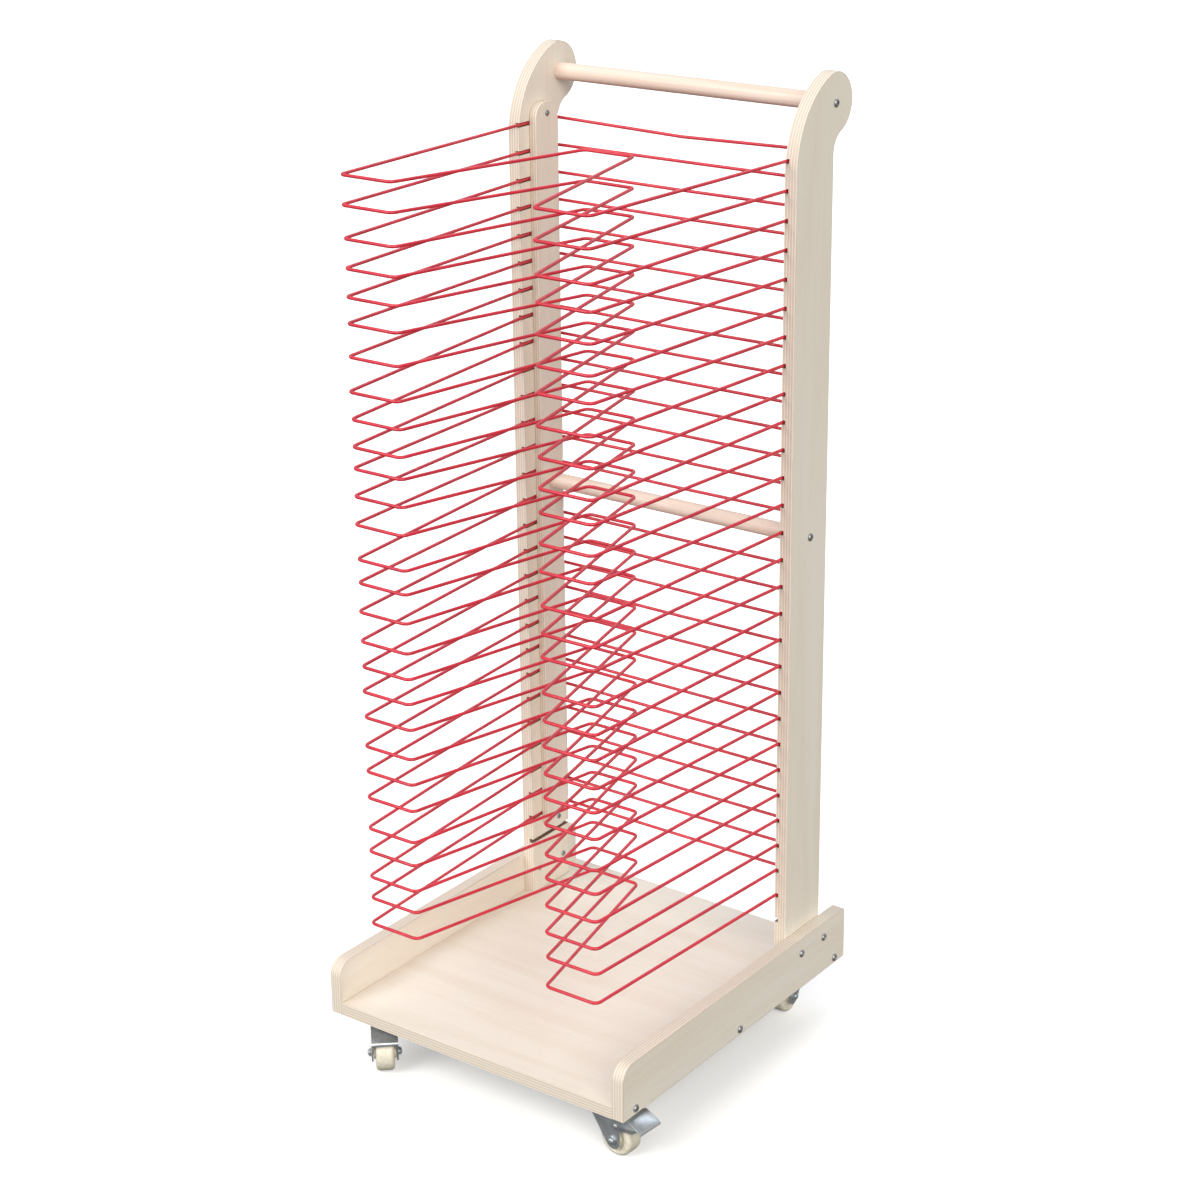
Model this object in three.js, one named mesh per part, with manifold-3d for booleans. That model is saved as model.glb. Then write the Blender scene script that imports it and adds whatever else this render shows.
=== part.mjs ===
// Art drying rack: bent wire shelves held in two grooved plywood posts on a caster base.
// Millimetres, +Z up, the open front faces -Y and the floor is at Z 0.

import * as THREE from 'three';
import { mergeVertices } from 'three/addons/utils/BufferGeometryUtils.js';
import Module from 'manifold-3d';

const wasm = await Module();
wasm.setup();

// Shared clearances
const FIT = 0.3; // gap between pieces that turn on or slip into each other
const CUT = 1; // how far a cutter runs past the face that it opens

// Facets
const CORNER_STEPS = 5;
const ARC_STEPS = 6;
const SHEET_STEPS = 3;
const DOWEL_SIDES = 24;
const WHEEL_SIDES = 16;
const CUP_SIDES = 12;
const PIN_SIDES = 8;
const WIRE_SIDES = 6;
const BEND_STEPS = 2;
const BACK_BEND_STEPS = 1;

// Plywood base
const PLY = 18;
const BASE_WIDTH = 488;
const BASE_DEPTH = 534;
const SIDE_HEIGHT = 77;
const SIDE_FRONT_RADIUS = 22;
const SIDE_BACK_RADIUS = 7;

// Posts and their rounded heads
const POST_SETBACK = 406; // base front to post front
const POST_DEPTH = 87;
const HEAD_RADIUS = 40;
const HEAD_FLARE_DROP = 15; // top shelf down to where the front edge starts to curve
const HEAD_FILLET = 30; // hollow under the back of the head

// Handle and cross bar
const HANDLE_DIAMETER = 23;
const HANDLE_SETBACK = 90; // post front to handle axis
const HANDLE_RISE = 60; // top shelf to handle axis
const BAR_DIAMETER = 22;
const BAR_DROP = 504; // top shelf down to cross bar axis

// Strips that clamp the wires into the posts
const STRIP_SETBACK = 22.5; // post front to strip front
const STRIP_DEPTH = 48;
const STRIP_THICKNESS = 12;
const STRIP_RADIUS = 20;
const STRIP_TOP = 26.5; // past the top shelf
const STRIP_BOTTOM = 26.5; // past the lowest shelf

// Wire shelves
const SHELF_COUNT = 28;
const SHELF_PITCH = 37.5;
const LOWEST_SHELF = 121.5; // above the base board
const WIRE = 4.5;
const SHELF_REACH = 381; // post front to the wire across the shelf's front
const SHELF_HALF_FRONT = 187; // middle to the outer run of a prong at its tip
const PRONG_HALF_INNER = 107; // middle to the inner run of a prong at its tip
const VALLEY_REACH = 83; // post front to the wire between the prongs
const VALLEY_HALF = 38;
const BEND = 9; // bend radius of the prongs
const BACK_BEND = 7.5; // bend radius behind the strips
const RUN_OUT = 4; // strip front to where the wire starts to lean inwards

// Grooves across the posts' inner faces
const GROOVE_PLAY = 0.4; // round the wire
const SPARE_GROOVES = 1; // empty, below the lowest shelf

// Casters
const CASTER_HEIGHT = 70;
const CASTER_SIDE_INSET = 58; // base side to swivel axis
const CASTER_FRONT_INSET = 39;
const CASTER_BACK_INSET = 42;
const FRONT_RIGHT_HEADING = -5; // degrees from +X to the side that the wheel trails on
const FRONT_LEFT_HEADING = -48;
const BACK_RIGHT_HEADING = -86;
const BACK_LEFT_HEADING = 20;
const TRAIL = 28; // swivel axis to axle
const WHEEL_DIAMETER = 50;
const WHEEL_WIDTH = 25;
const WHEEL_SHOULDER = 4; // rounding of the tread's edges
const WHEEL_DISH = 2; // depth of the hollow in each wheel face
const HUB_DIAMETER = 18;
const AXLE_DIAMETER = 6;
const NUT_DIAMETER = 12;
const NUT_HEIGHT = 5;
const SHEET = 2; // pressed steel
const CHEEK_GAP = 3.5; // tread to fork cheek
const BOSS_RADIUS = 11; // lower end of a cheek
const CHEEK_LEAD = 9.5; // fork ahead of the swivel axis
const CHEEK_EDGE = 5; // height of the cheek's leading edge
const CROWN_FLAT = 13; // flat part of the crown behind the swivel axis
const HOOD_REACH = 22; // axle to the end of the hood over the wheel
const HOOD_DROP = 14; // slope of the hood
const HOOD_LIP = 5.5;

// Caster mounting plate
const PLATE_SIZE = 44;
const PLATE_THICKNESS = 2.5;
const PLATE_CORNER = 5;
const SCREW_PITCH = 33;
const SCREW_HOLE = 4.6;
const CUP_DEPTH = 3.5; // pressed cup below the plate
const CUP_RADIUS = 13;
const KINGPIN_DIAMETER = 8;
const KINGPIN_HEAD = 13;
const KINGPIN_HEAD_HEIGHT = 2;

// Brake pedal
const PIVOT_PAST_AXLE = 7;
const PIVOT_HEIGHT = 49;
const PIVOT_DIAMETER = 4.4;
const PIVOT_BOSS = 4.6;
const HOOD_CLEARANCE = 2.5; // hood end to the inside of the brake shoe
const PEDAL_LENGTH = 20;
const PEDAL_SLOPE = 8;
const PEDAL_LIP = 5; // past the fold
const PEDAL_LIP_SLOPE = 4.3;
const PEDAL_TOP_GAP = 5; // base board to the pedal's highest edge
const PEDAL_FLANGE = 9; // depth of the folded sides
const SHOE_ANGLE = 32; // above the axle, in degrees
const SHOE_GAP = 3.3; // shoe to tread with the brake off

// Heights
const FLOOR_TOP = CASTER_HEIGHT + PLY;
const LOWEST_Z = FLOOR_TOP + LOWEST_SHELF;
const TOP_Z = LOWEST_Z + (SHELF_COUNT - 1) * SHELF_PITCH;

// Planes across the width and the depth
const BASE_SIDE = BASE_WIDTH / 2;
const POST_OUTER = BASE_SIDE - PLY;
const POST_INNER = POST_OUTER - PLY;
const STRIP_INNER = POST_INNER - STRIP_THICKNESS;
const BASE_FRONT = -BASE_DEPTH / 2;
const POST_FRONT = BASE_FRONT + POST_SETBACK;
const STRIP_FRONT = POST_FRONT + STRIP_SETBACK;
const STRIP_BACK = STRIP_FRONT + STRIP_DEPTH;

// Materials
const paint = (color, roughness, metalness) =>
  new THREE.MeshStandardMaterial({ color, roughness, metalness });
const birch = () => paint(0xe9dcc8, 0.6, 0);
const beech = () => paint(0xdcb896, 0.55, 0);
const redWire = () => paint(0xd6455a, 0.4, 0);
const zinc = () => paint(0xb9bec2, 0.28, 1);
const nylon = () => paint(0xd9d2b2, 0.5, 0);

const rack = new THREE.Group();

function piece(parent, name, geometry, material) {
  const mesh = new THREE.Mesh(geometry, material);
  mesh.name = name;
  parent.add(mesh);
  return mesh;
}

// Closed solid for joins and cuts
function solid(geometry) {
  const bare = geometry.clone();
  bare.deleteAttribute('normal');
  bare.deleteAttribute('uv');
  const merged = mergeVertices(bare);
  return new wasm.Manifold(new wasm.Mesh({
    numProp: 3,
    vertProperties: new Float32Array(merged.attributes.position.array),
    triVerts: new Uint32Array(merged.index.array),
  }));
}

function surface(body) {
  const { vertProperties, triVerts } = body.getMesh();
  const geometry = new THREE.BufferGeometry();
  geometry.setAttribute('position', new THREE.BufferAttribute(vertProperties, 3));
  geometry.setIndex(new THREE.BufferAttribute(triVerts, 1));
  geometry.computeVertexNormals();
  return geometry;
}

// Stations round a closed path whose corners [x, y, radius] are bent to arcs, some in steps of their own
function bentLoop(corners, steps) {
  const origin = new THREE.Vector2();
  const stations = [];
  corners.forEach(([x, y, radius, ownSteps = steps], i) => {
    const at = new THREE.Vector2(x, y);
    const [lastX, lastY] = corners.at(i - 1);
    const [nextX, nextY] = corners[(i + 1) % corners.length];
    const inward = new THREE.Vector2(x - lastX, y - lastY).normalize();
    const onward = new THREE.Vector2(nextX - x, nextY - y).normalize();
    const turn = Math.atan2(inward.cross(onward), inward.dot(onward));
    const start = at.addScaledVector(inward, -radius * Math.tan(Math.abs(turn) / 2));
    const aside = new THREE.Vector2(-inward.y, inward.x).multiplyScalar(Math.sign(turn) * radius);
    const centre = start.clone().add(aside);
    const count = radius > 0 ? ownSteps : 0;
    for (let k = 0; k <= count; k++) {
      const angle = count > 0 ? (turn * k) / count : turn / 2;
      stations.push({
        point: start.clone().rotateAround(centre, angle),
        tangent: inward.clone().rotateAround(origin, angle),
      });
    }
  });
  return stations;
}

const outline = (corners, steps = CORNER_STEPS) =>
  new THREE.Shape(bentLoop(corners, steps).map(({ point }) => point));

// One unbroken wire round a flat closed path
function closedTube(stations, radius, sides) {
  const positions = [];
  const index = [];
  stations.forEach(({ point, tangent }, ring) => {
    const nextRing = (ring + 1) % stations.length;
    for (let side = 0; side < sides; side++) {
      const angle = (2 * Math.PI * side) / sides;
      const out = radius * Math.cos(angle);
      positions.push(point.x + tangent.y * out, point.y - tangent.x * out, radius * Math.sin(angle));
      const nextSide = (side + 1) % sides;
      const a = ring * sides + side;
      const b = ring * sides + nextSide;
      const c = nextRing * sides + side;
      const d = nextRing * sides + nextSide;
      index.push(a, c, d, a, d, b);
    }
  });
  const geometry = new THREE.BufferGeometry();
  geometry.setAttribute('position', new THREE.Float32BufferAttribute(positions, 3));
  geometry.setIndex(index);
  geometry.computeVertexNormals();
  return geometry;
}

const extrude = (shape, depth, curveSegments = ARC_STEPS) => new THREE.ExtrudeGeometry(shape, {
  depth, curveSegments, bevelEnabled: false,
});

// A plate drawn in Y and Z, from one X to another
function sidePlate(shape, fromX, toX) {
  const [low, high] = [Math.min(fromX, toX), Math.max(fromX, toX)];
  const turn = new THREE.Matrix4().makeBasis(
    new THREE.Vector3(0, 1, 0), new THREE.Vector3(0, 0, 1), new THREE.Vector3(1, 0, 0));
  return extrude(shape, high - low).applyMatrix4(turn).translate(low, 0, 0);
}

// A plate drawn in X and Z, from one Y to another
function frontPlate(shape, fromY, toY) {
  return extrude(shape, toY - fromY, SHEET_STEPS).rotateX(Math.PI / 2).translate(0, toY, 0);
}

function block(fromX, toX, fromY, toY, fromZ, toZ) {
  const geometry = new THREE.BoxGeometry(Math.abs(toX - fromX), toY - fromY, toZ - fromZ);
  return geometry.translate((fromX + toX) / 2, (fromY + toY) / 2, (fromZ + toZ) / 2);
}

const rodY = (diameter, length, sides) =>
  new THREE.CylinderGeometry(diameter / 2, diameter / 2, length, sides);
// A faceted hole whose flats clear a pin that turns in it
const boreRadius = (pin, sides) => (pin / 2 + FIT) / Math.cos(Math.PI / sides);
const boreY = (pin, length) => rodY(2 * boreRadius(pin, PIN_SIDES), length, PIN_SIDES);
const dowel = (diameter, length) => rodY(diameter, length, DOWEL_SIDES).rotateZ(Math.PI / 2);
const revolve = (profile, sides) =>
  new THREE.LatheGeometry(profile.map(([radius, height]) => new THREE.Vector2(radius, height)), sides);

function baseBoard() {
  const geometry = block(-POST_OUTER, POST_OUTER, BASE_FRONT, -BASE_FRONT, CASTER_HEIGHT, FLOOR_TOP);
  piece(rack, 'base_board', geometry, birch());
}

function sideBoard(label, side) {
  const shape = outline([
    [BASE_FRONT, CASTER_HEIGHT, 0],
    [-BASE_FRONT, CASTER_HEIGHT, 0],
    [-BASE_FRONT, CASTER_HEIGHT + SIDE_HEIGHT, SIDE_BACK_RADIUS],
    [BASE_FRONT, CASTER_HEIGHT + SIDE_HEIGHT, SIDE_FRONT_RADIUS],
  ]);
  piece(rack, `side_board_${label}`, sidePlate(shape, side * POST_OUTER, side * BASE_SIDE), birch());
}

// Straight front and back edges run into a round head by tangent arcs
function postShape() {
  const back = POST_FRONT + POST_DEPTH;
  const headY = POST_FRONT + HANDLE_SETBACK;
  const headZ = TOP_Z + HANDLE_RISE;
  const flareZ = TOP_Z - HEAD_FLARE_DROP;
  const rise = headZ - flareZ;
  const flare = (HANDLE_SETBACK ** 2 + rise ** 2 - HEAD_RADIUS ** 2) / (2 * (HANDLE_SETBACK - HEAD_RADIUS));
  const flareAngle = Math.atan2(rise, HANDLE_SETBACK - flare);
  const filletY = back + HEAD_FILLET;
  const filletDrop = Math.sqrt((HEAD_RADIUS + HEAD_FILLET) ** 2 - (filletY - headY) ** 2);
  const filletAngle = Math.atan2(-filletDrop, filletY - headY);
  const shape = new THREE.Shape();
  shape.moveTo(back, FLOOR_TOP);
  shape.lineTo(POST_FRONT, FLOOR_TOP);
  shape.lineTo(POST_FRONT, flareZ);
  shape.absarc(POST_FRONT + flare, flareZ, flare, Math.PI, flareAngle, true);
  shape.absarc(headY, headZ, HEAD_RADIUS, flareAngle, filletAngle, true);
  shape.absarc(filletY, headZ - filletDrop, HEAD_FILLET, filletAngle + Math.PI, Math.PI, false);
  shape.closePath();
  return shape;
}

// Groove for one wire, across the whole inner face
function groove(side, z) {
  const half = WIRE / 2 + GROOVE_PLAY;
  const floor = POST_INNER + 2 * half;
  return solid(block(side * (POST_INNER - CUT), side * floor,
    POST_FRONT - CUT, POST_FRONT + POST_DEPTH + CUT, z - half, z + half));
}

function post(label, side) {
  let body = solid(sidePlate(postShape(), side * POST_INNER, side * POST_OUTER));
  for (let i = -SPARE_GROOVES; i < SHELF_COUNT; i++) {
    body = body.subtract(groove(side, LOWEST_Z + i * SHELF_PITCH));
  }
  piece(rack, `post_${label}`, surface(body), birch());
}

function clampStrip(label, side) {
  const bottom = LOWEST_Z - STRIP_BOTTOM;
  const top = TOP_Z + STRIP_TOP;
  const shape = outline([
    [STRIP_FRONT, bottom, STRIP_RADIUS],
    [STRIP_BACK, bottom, STRIP_RADIUS],
    [STRIP_BACK, top, STRIP_RADIUS],
    [STRIP_FRONT, top, STRIP_RADIUS],
  ]);
  piece(rack, `clamp_strip_${label}`, sidePlate(shape, side * STRIP_INNER, side * POST_INNER), birch());
}

function handle() {
  const bar = piece(rack, 'handle_dowel', dowel(HANDLE_DIAMETER, 2 * POST_INNER), beech());
  bar.position.set(0, POST_FRONT + HANDLE_SETBACK, TOP_Z + HANDLE_RISE);
}

function crossBar() {
  const bar = piece(rack, 'cross_dowel', dowel(BAR_DIAMETER, 2 * STRIP_INNER), beech());
  bar.position.set(0, (STRIP_FRONT + STRIP_BACK) / 2, TOP_Z - BAR_DROP);
}

// Two prongs in front, the valley between them and a straight run behind the strips
function shelfStations() {
  const inGroove = POST_INNER + WIRE / 2 + GROOVE_PLAY;
  const front = POST_FRONT - SHELF_REACH;
  const half = [
    [VALLEY_HALF, POST_FRONT - VALLEY_REACH, BEND],
    [PRONG_HALF_INNER, front, BEND],
    [SHELF_HALF_FRONT, front, BEND],
    [inGroove, STRIP_FRONT - RUN_OUT, 0],
    [inGroove, STRIP_BACK + BACK_BEND, BACK_BEND, BACK_BEND_STEPS],
  ];
  const mirrored = half.map(([x, ...rest]) => [-x, ...rest]).reverse();
  return bentLoop([...half, ...mirrored], BEND_STEPS);
}

function shelves() {
  const stations = shelfStations();
  for (let i = 0; i < SHELF_COUNT; i++) {
    const name = `shelf_${String(SHELF_COUNT - i).padStart(2, '0')}`;
    const shelf = piece(rack, name, closedTube(stations, WIRE / 2, WIRE_SIDES), redWire());
    shelf.position.z = LOWEST_Z + i * SHELF_PITCH;
  }
}

// Caster levels and planes that its pieces share
const PLATE_BOTTOM = CASTER_HEIGHT - PLATE_THICKNESS;
const CUP_BOTTOM = PLATE_BOTTOM - CUP_DEPTH;
const CUP_FLOOR = CUP_BOTTOM + SHEET;
const CROWN_TOP = CUP_BOTTOM - FIT;
const AXLE_Z = WHEEL_DIAMETER / 2;
const CHEEK_IN = WHEEL_WIDTH / 2 + CHEEK_GAP;
const CHEEK_OUT = CHEEK_IN + SHEET;
const HOOD_END = TRAIL + HOOD_REACH;
const HOOD_END_TOP = CROWN_TOP - HOOD_DROP;
const HOOD_LIP_BOTTOM = HOOD_END_TOP - HOOD_LIP;
const PIVOT_X = TRAIL + PIVOT_PAST_AXLE;

function casterPlate() {
  const half = PLATE_SIZE / 2;
  const shape = outline([[-half, -half], [half, -half], [half, half], [-half, half]]
    .map(([x, y]) => [x, y, PLATE_CORNER]), SHEET_STEPS);
  for (const x of [-1, 1]) {
    for (const y of [-1, 1]) {
      const hole = new THREE.Path();
      hole.absarc((x * SCREW_PITCH) / 2, (y * SCREW_PITCH) / 2, SCREW_HOLE / 2, 0, 2 * Math.PI);
      shape.holes.push(hole);
    }
  }
  const flange = extrude(shape, PLATE_THICKNESS, SHEET_STEPS).translate(0, 0, PLATE_BOTTOM);
  const well = rodY(2 * (CUP_RADIUS - SHEET), 2 * CUP_DEPTH, CUP_SIDES).rotateX(Math.PI / 2);
  well.translate(0, 0, CASTER_HEIGHT);
  const bore = boreRadius(KINGPIN_DIAMETER, CUP_SIDES);
  const cup = revolve([
    [bore, CUP_BOTTOM],
    [CUP_RADIUS, CUP_BOTTOM],
    [CUP_RADIUS, PLATE_BOTTOM + PLATE_THICKNESS / 2],
    [CUP_RADIUS - SHEET, PLATE_BOTTOM + PLATE_THICKNESS / 2],
    [CUP_RADIUS - SHEET, CUP_FLOOR],
    [bore, CUP_FLOOR],
    [bore, CUP_BOTTOM],
  ], CUP_SIDES).rotateX(Math.PI / 2);
  return surface(solid(flange).subtract(solid(well)).add(solid(cup)));
}

// Rivet through the plate's cup and the fork's crown
function kingpin() {
  const crownBottom = CROWN_TOP - SHEET;
  return revolve([
    [0, crownBottom - FIT - KINGPIN_HEAD_HEIGHT],
    [KINGPIN_HEAD / 2, crownBottom - FIT - KINGPIN_HEAD_HEIGHT],
    [KINGPIN_HEAD / 2, crownBottom - FIT],
    [KINGPIN_DIAMETER / 2, crownBottom - FIT],
    [KINGPIN_DIAMETER / 2, CUP_FLOOR + FIT],
    [KINGPIN_HEAD / 2, CUP_FLOOR + FIT],
    [KINGPIN_HEAD / 2, CUP_FLOOR + FIT + KINGPIN_HEAD_HEIGHT],
    [0, CUP_FLOOR + FIT + KINGPIN_HEAD_HEIGHT],
  ], PIN_SIDES).rotateX(Math.PI / 2);
}

// Cheek outline: crown, hood over the wheel, axle boss and slanted leading edge
function forkShape() {
  const edgeBottom = CROWN_TOP - CHEEK_EDGE;
  const reach = Math.hypot(TRAIL + CHEEK_LEAD, edgeBottom - AXLE_Z);
  const towards = Math.atan2(edgeBottom - AXLE_Z, -CHEEK_LEAD - TRAIL);
  const shape = new THREE.Shape();
  shape.moveTo(-CHEEK_LEAD, CROWN_TOP);
  shape.lineTo(CROWN_FLAT, CROWN_TOP);
  shape.lineTo(HOOD_END, HOOD_END_TOP);
  shape.lineTo(HOOD_END, HOOD_LIP_BOTTOM);
  shape.lineTo(TRAIL + BOSS_RADIUS, HOOD_LIP_BOTTOM - HOOD_LIP);
  shape.absarc(TRAIL, AXLE_Z, BOSS_RADIUS, 0, towards + Math.acos(BOSS_RADIUS / reach), true);
  shape.lineTo(-CHEEK_LEAD, edgeBottom);
  shape.closePath();
  return shape;
}

function fork() {
  const hollow = new THREE.Shape([
    [-CHEEK_LEAD - CUT, CROWN_TOP - SHEET],
    [-CHEEK_LEAD - CUT, -CUT],
    [HOOD_END - SHEET, -CUT],
    [HOOD_END - SHEET, HOOD_END_TOP - SHEET],
    [CROWN_FLAT, CROWN_TOP - SHEET],
  ].map(([x, z]) => new THREE.Vector2(x, z)));
  const across = 2 * (CHEEK_OUT + CUT);
  const axleBore = boreY(AXLE_DIAMETER, across).translate(TRAIL, 0, AXLE_Z);
  const pivotBore = boreY(PIVOT_DIAMETER, across).translate(PIVOT_X, 0, PIVOT_HEIGHT);
  const pinBore = boreY(KINGPIN_DIAMETER, 2 * SHEET).rotateX(Math.PI / 2);
  pinBore.translate(0, 0, CROWN_TOP - SHEET / 2);
  let body = solid(frontPlate(forkShape(), -CHEEK_OUT, CHEEK_OUT));
  body = body.subtract(solid(frontPlate(hollow, -CHEEK_IN, CHEEK_IN)));
  for (const bore of [axleBore, pivotBore, pinBore]) {
    body = body.subtract(solid(bore));
  }
  return surface(body);
}

function wheel() {
  const bore = boreRadius(AXLE_DIAMETER, WHEEL_SIDES);
  const hub = CHEEK_IN - FIT;
  const rim = WHEEL_WIDTH / 2;
  const tread = WHEEL_DIAMETER / 2;
  const half = [
    [bore, hub],
    [HUB_DIAMETER / 2, hub],
    [HUB_DIAMETER / 2, rim - WHEEL_DISH],
    [tread - WHEEL_SHOULDER, rim],
    [tread, rim - WHEEL_SHOULDER],
  ];
  const mirrored = half.map(([radius, side]) => [radius, -side]);
  return revolve([...mirrored, ...half.toReversed(), mirrored[0]], WHEEL_SIDES);
}

function axle() {
  const seat = CHEEK_OUT + FIT;
  const half = [
    [0, seat + NUT_HEIGHT],
    [NUT_DIAMETER / 3, seat + NUT_HEIGHT],
    [NUT_DIAMETER / 2, seat + NUT_HEIGHT / 2],
    [NUT_DIAMETER / 2, seat],
    [AXLE_DIAMETER / 2, seat],
  ];
  const mirrored = half.map(([radius, side]) => [radius, -side]);
  return revolve([...mirrored, ...half.toReversed()], PIN_SIDES);
}

// Folded pedal with two sides on stub pivots and a shoe tab that reaches the tread
function brakePedal() {
  const near = HOOD_END + HOOD_CLEARANCE;
  const far = near + PEDAL_LENGTH;
  const top = CASTER_HEIGHT - PEDAL_TOP_GAP;
  const flangeIn = CHEEK_OUT + FIT;
  const flangeOut = flangeIn + SHEET;
  const upper = [
    [near, top],
    [far, top - PEDAL_SLOPE],
    [far + PEDAL_LIP, top - PEDAL_SLOPE - PEDAL_LIP_SLOPE],
  ];
  const lower = upper.map(([x, z]) => [x, z - SHEET]).reverse();
  const plate = outline([...upper, ...lower].map(([x, z]) => [x, z, 0]));

  const angle = THREE.MathUtils.degToRad(SHOE_ANGLE);
  const shoe = (gap) => [
    TRAIL + (AXLE_Z + gap) * Math.cos(angle),
    AXLE_Z + (AXLE_Z + gap) * Math.sin(angle),
    0,
  ];
  const tab = outline([
    [near, top - SHEET / 2, 0],
    [near, HOOD_LIP_BOTTOM, 0],
    shoe(SHOE_GAP),
    shoe(SHOE_GAP + SHEET),
    [near + SHEET, HOOD_LIP_BOTTOM, 0],
    [near + SHEET, top - SHEET, 0],
  ]);

  const flange = outline([
    [PIVOT_X - PIVOT_BOSS, PIVOT_HEIGHT - PIVOT_BOSS, PIVOT_BOSS - FIT],
    [far - PEDAL_FLANGE, top - PEDAL_SLOPE - PEDAL_FLANGE, 0],
    [far, top - PEDAL_SLOPE - SHEET / 2, 0],
    [near, top - SHEET / 2, 0],
    [PIVOT_X - PIVOT_BOSS, PIVOT_HEIGHT + PIVOT_BOSS, PIVOT_BOSS - FIT],
  ], SHEET_STEPS);

  let body = solid(frontPlate(plate, -flangeOut, flangeOut));
  body = body.add(solid(frontPlate(tab, -WHEEL_WIDTH / 2, WHEEL_WIDTH / 2)));
  for (const side of [-1, 1]) {
    const [low, high] = [side * flangeIn, side * flangeOut].sort((a, b) => a - b);
    const stub = rodY(PIVOT_DIAMETER, flangeOut - CHEEK_IN, PIN_SIDES);
    stub.translate(PIVOT_X, (side * (flangeOut + CHEEK_IN)) / 2, PIVOT_HEIGHT);
    body = body.add(solid(frontPlate(flange, low, high))).add(solid(stub));
  }
  return surface(body);
}

// The plate and kingpin stay square to the base, the rest turns with the fork
function caster(label, x, y, headingDegrees, braked) {
  const fixed = new THREE.Group();
  fixed.position.set(x, y, 0);
  rack.add(fixed);
  const swivel = new THREE.Group();
  swivel.rotation.z = THREE.MathUtils.degToRad(headingDegrees);
  fixed.add(swivel);
  piece(fixed, `${label}_plate`, casterPlate(), zinc());
  piece(fixed, `${label}_kingpin`, kingpin(), zinc());
  piece(swivel, `${label}_fork`, fork(), zinc());
  piece(swivel, `${label}_axle`, axle(), zinc()).position.set(TRAIL, 0, AXLE_Z);
  piece(swivel, `${label}_wheel`, wheel(), nylon()).position.set(TRAIL, 0, AXLE_Z);
  if (braked) {
    piece(swivel, `${label}_brake`, brakePedal(), zinc());
  }
}

function casters() {
  const x = BASE_SIDE - CASTER_SIDE_INSET;
  const front = BASE_FRONT + CASTER_FRONT_INSET;
  const back = -BASE_FRONT - CASTER_BACK_INSET;
  caster('caster_front_right', x, front, FRONT_RIGHT_HEADING, true);
  caster('caster_front_left', -x, front, FRONT_LEFT_HEADING, false);
  caster('caster_back_right', x, back, BACK_RIGHT_HEADING, false);
  caster('caster_back_left', -x, back, BACK_LEFT_HEADING, true);
}

baseBoard();
for (const [label, side] of [['left', -1], ['right', 1]]) {
  sideBoard(label, side);
  post(label, side);
  clampStrip(label, side);
}
handle();
crossBar();
shelves();
casters();

// Stand the rack on the floor with the middle of its box on the Z axis
const box = new THREE.Box3().setFromObject(rack, true);
const middle = box.getCenter(new THREE.Vector3());
rack.position.set(-middle.x, -middle.y, -box.min.z);

export default rack;
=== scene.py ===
"""Looks of an art drying rack: bent wire shelves in plywood posts, on a tray base with swivel casters."""

import math
import random

import bmesh
import bpy
from bpy.props import FloatProperty, FloatVectorProperty, IntProperty, PointerProperty
from mathutils import Matrix, Vector


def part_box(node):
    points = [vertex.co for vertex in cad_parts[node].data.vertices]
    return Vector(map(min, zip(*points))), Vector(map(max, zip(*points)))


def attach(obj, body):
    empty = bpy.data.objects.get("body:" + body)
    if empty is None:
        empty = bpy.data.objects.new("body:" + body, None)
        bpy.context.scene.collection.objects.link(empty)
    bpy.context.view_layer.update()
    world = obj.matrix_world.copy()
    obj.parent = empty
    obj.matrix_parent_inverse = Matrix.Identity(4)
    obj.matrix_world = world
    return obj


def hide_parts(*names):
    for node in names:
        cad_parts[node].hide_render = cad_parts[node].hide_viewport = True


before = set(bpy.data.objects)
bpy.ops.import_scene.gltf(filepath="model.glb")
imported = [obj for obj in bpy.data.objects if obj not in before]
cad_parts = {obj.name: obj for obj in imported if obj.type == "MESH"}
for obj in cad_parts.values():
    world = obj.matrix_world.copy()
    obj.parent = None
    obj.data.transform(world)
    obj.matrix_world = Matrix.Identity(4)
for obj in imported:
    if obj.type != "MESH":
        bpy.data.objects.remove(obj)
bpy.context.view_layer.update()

bl_info = {
    "name": "Art Drying Rack",
    "version": (1, 0, 0),
    "blender": (4, 5, 0),
    "location": "View3D > Sidebar > Drying Rack",
    "description": "Builds the boards, wire shelves, dowels, casters and fasteners of an art drying rack",
    "category": "Object",
}

MM = 0.001

# Places that the pieces share, read from the packed model
BOARD_LOW, BOARD_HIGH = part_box("base_board")
POST_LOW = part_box("post_right")[0]
SIDE_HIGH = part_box("side_board_right")[1]
SHELF_LOW, SHELF_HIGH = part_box("shelf_01")
MIDDLE = (BOARD_LOW.x + BOARD_HIGH.x) / 2
SHELVES = sorted(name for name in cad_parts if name.startswith("shelf_"))
SIDES = {"left": -1, "right": 1}
# How far each left prong's tip hangs below its groove, from the top shelf down, in mm
LEFT_DROOP = (-4.7, -4.6, -0.5, -0.6, -2.0, -5.6, -0.7, 7.3, 5.4, 3.9, -5.0, -5.5, -5.3, 3.9,
              -1.5, 0.8, 4.0, 1.8, -0.8, -2.7, 1.3, -0.1, 0.0, 7.4, 3.7, 3.8, -2.6, -1.5)
CASTERS = ("front_right", "front_left", "back_right", "back_left")


def middle_of(node):
    """Centre of a node's box."""
    low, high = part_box(node)
    return (low + high) / 2


SHELF_HEIGHTS = [middle_of(name).z for name in SHELVES]
HANDLE = middle_of("handle_dowel")
CROSS_BAR = middle_of("cross_dowel")


def colour(code):
    """Linear colour of an sRGB hex value."""
    channels = [int(code[i:i + 2], 16) / 255 for i in (1, 3, 5)]
    return tuple(c / 12.92 if c <= 0.04045 else ((c + 0.055) / 1.055) ** 2.4 for c in channels)


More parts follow.
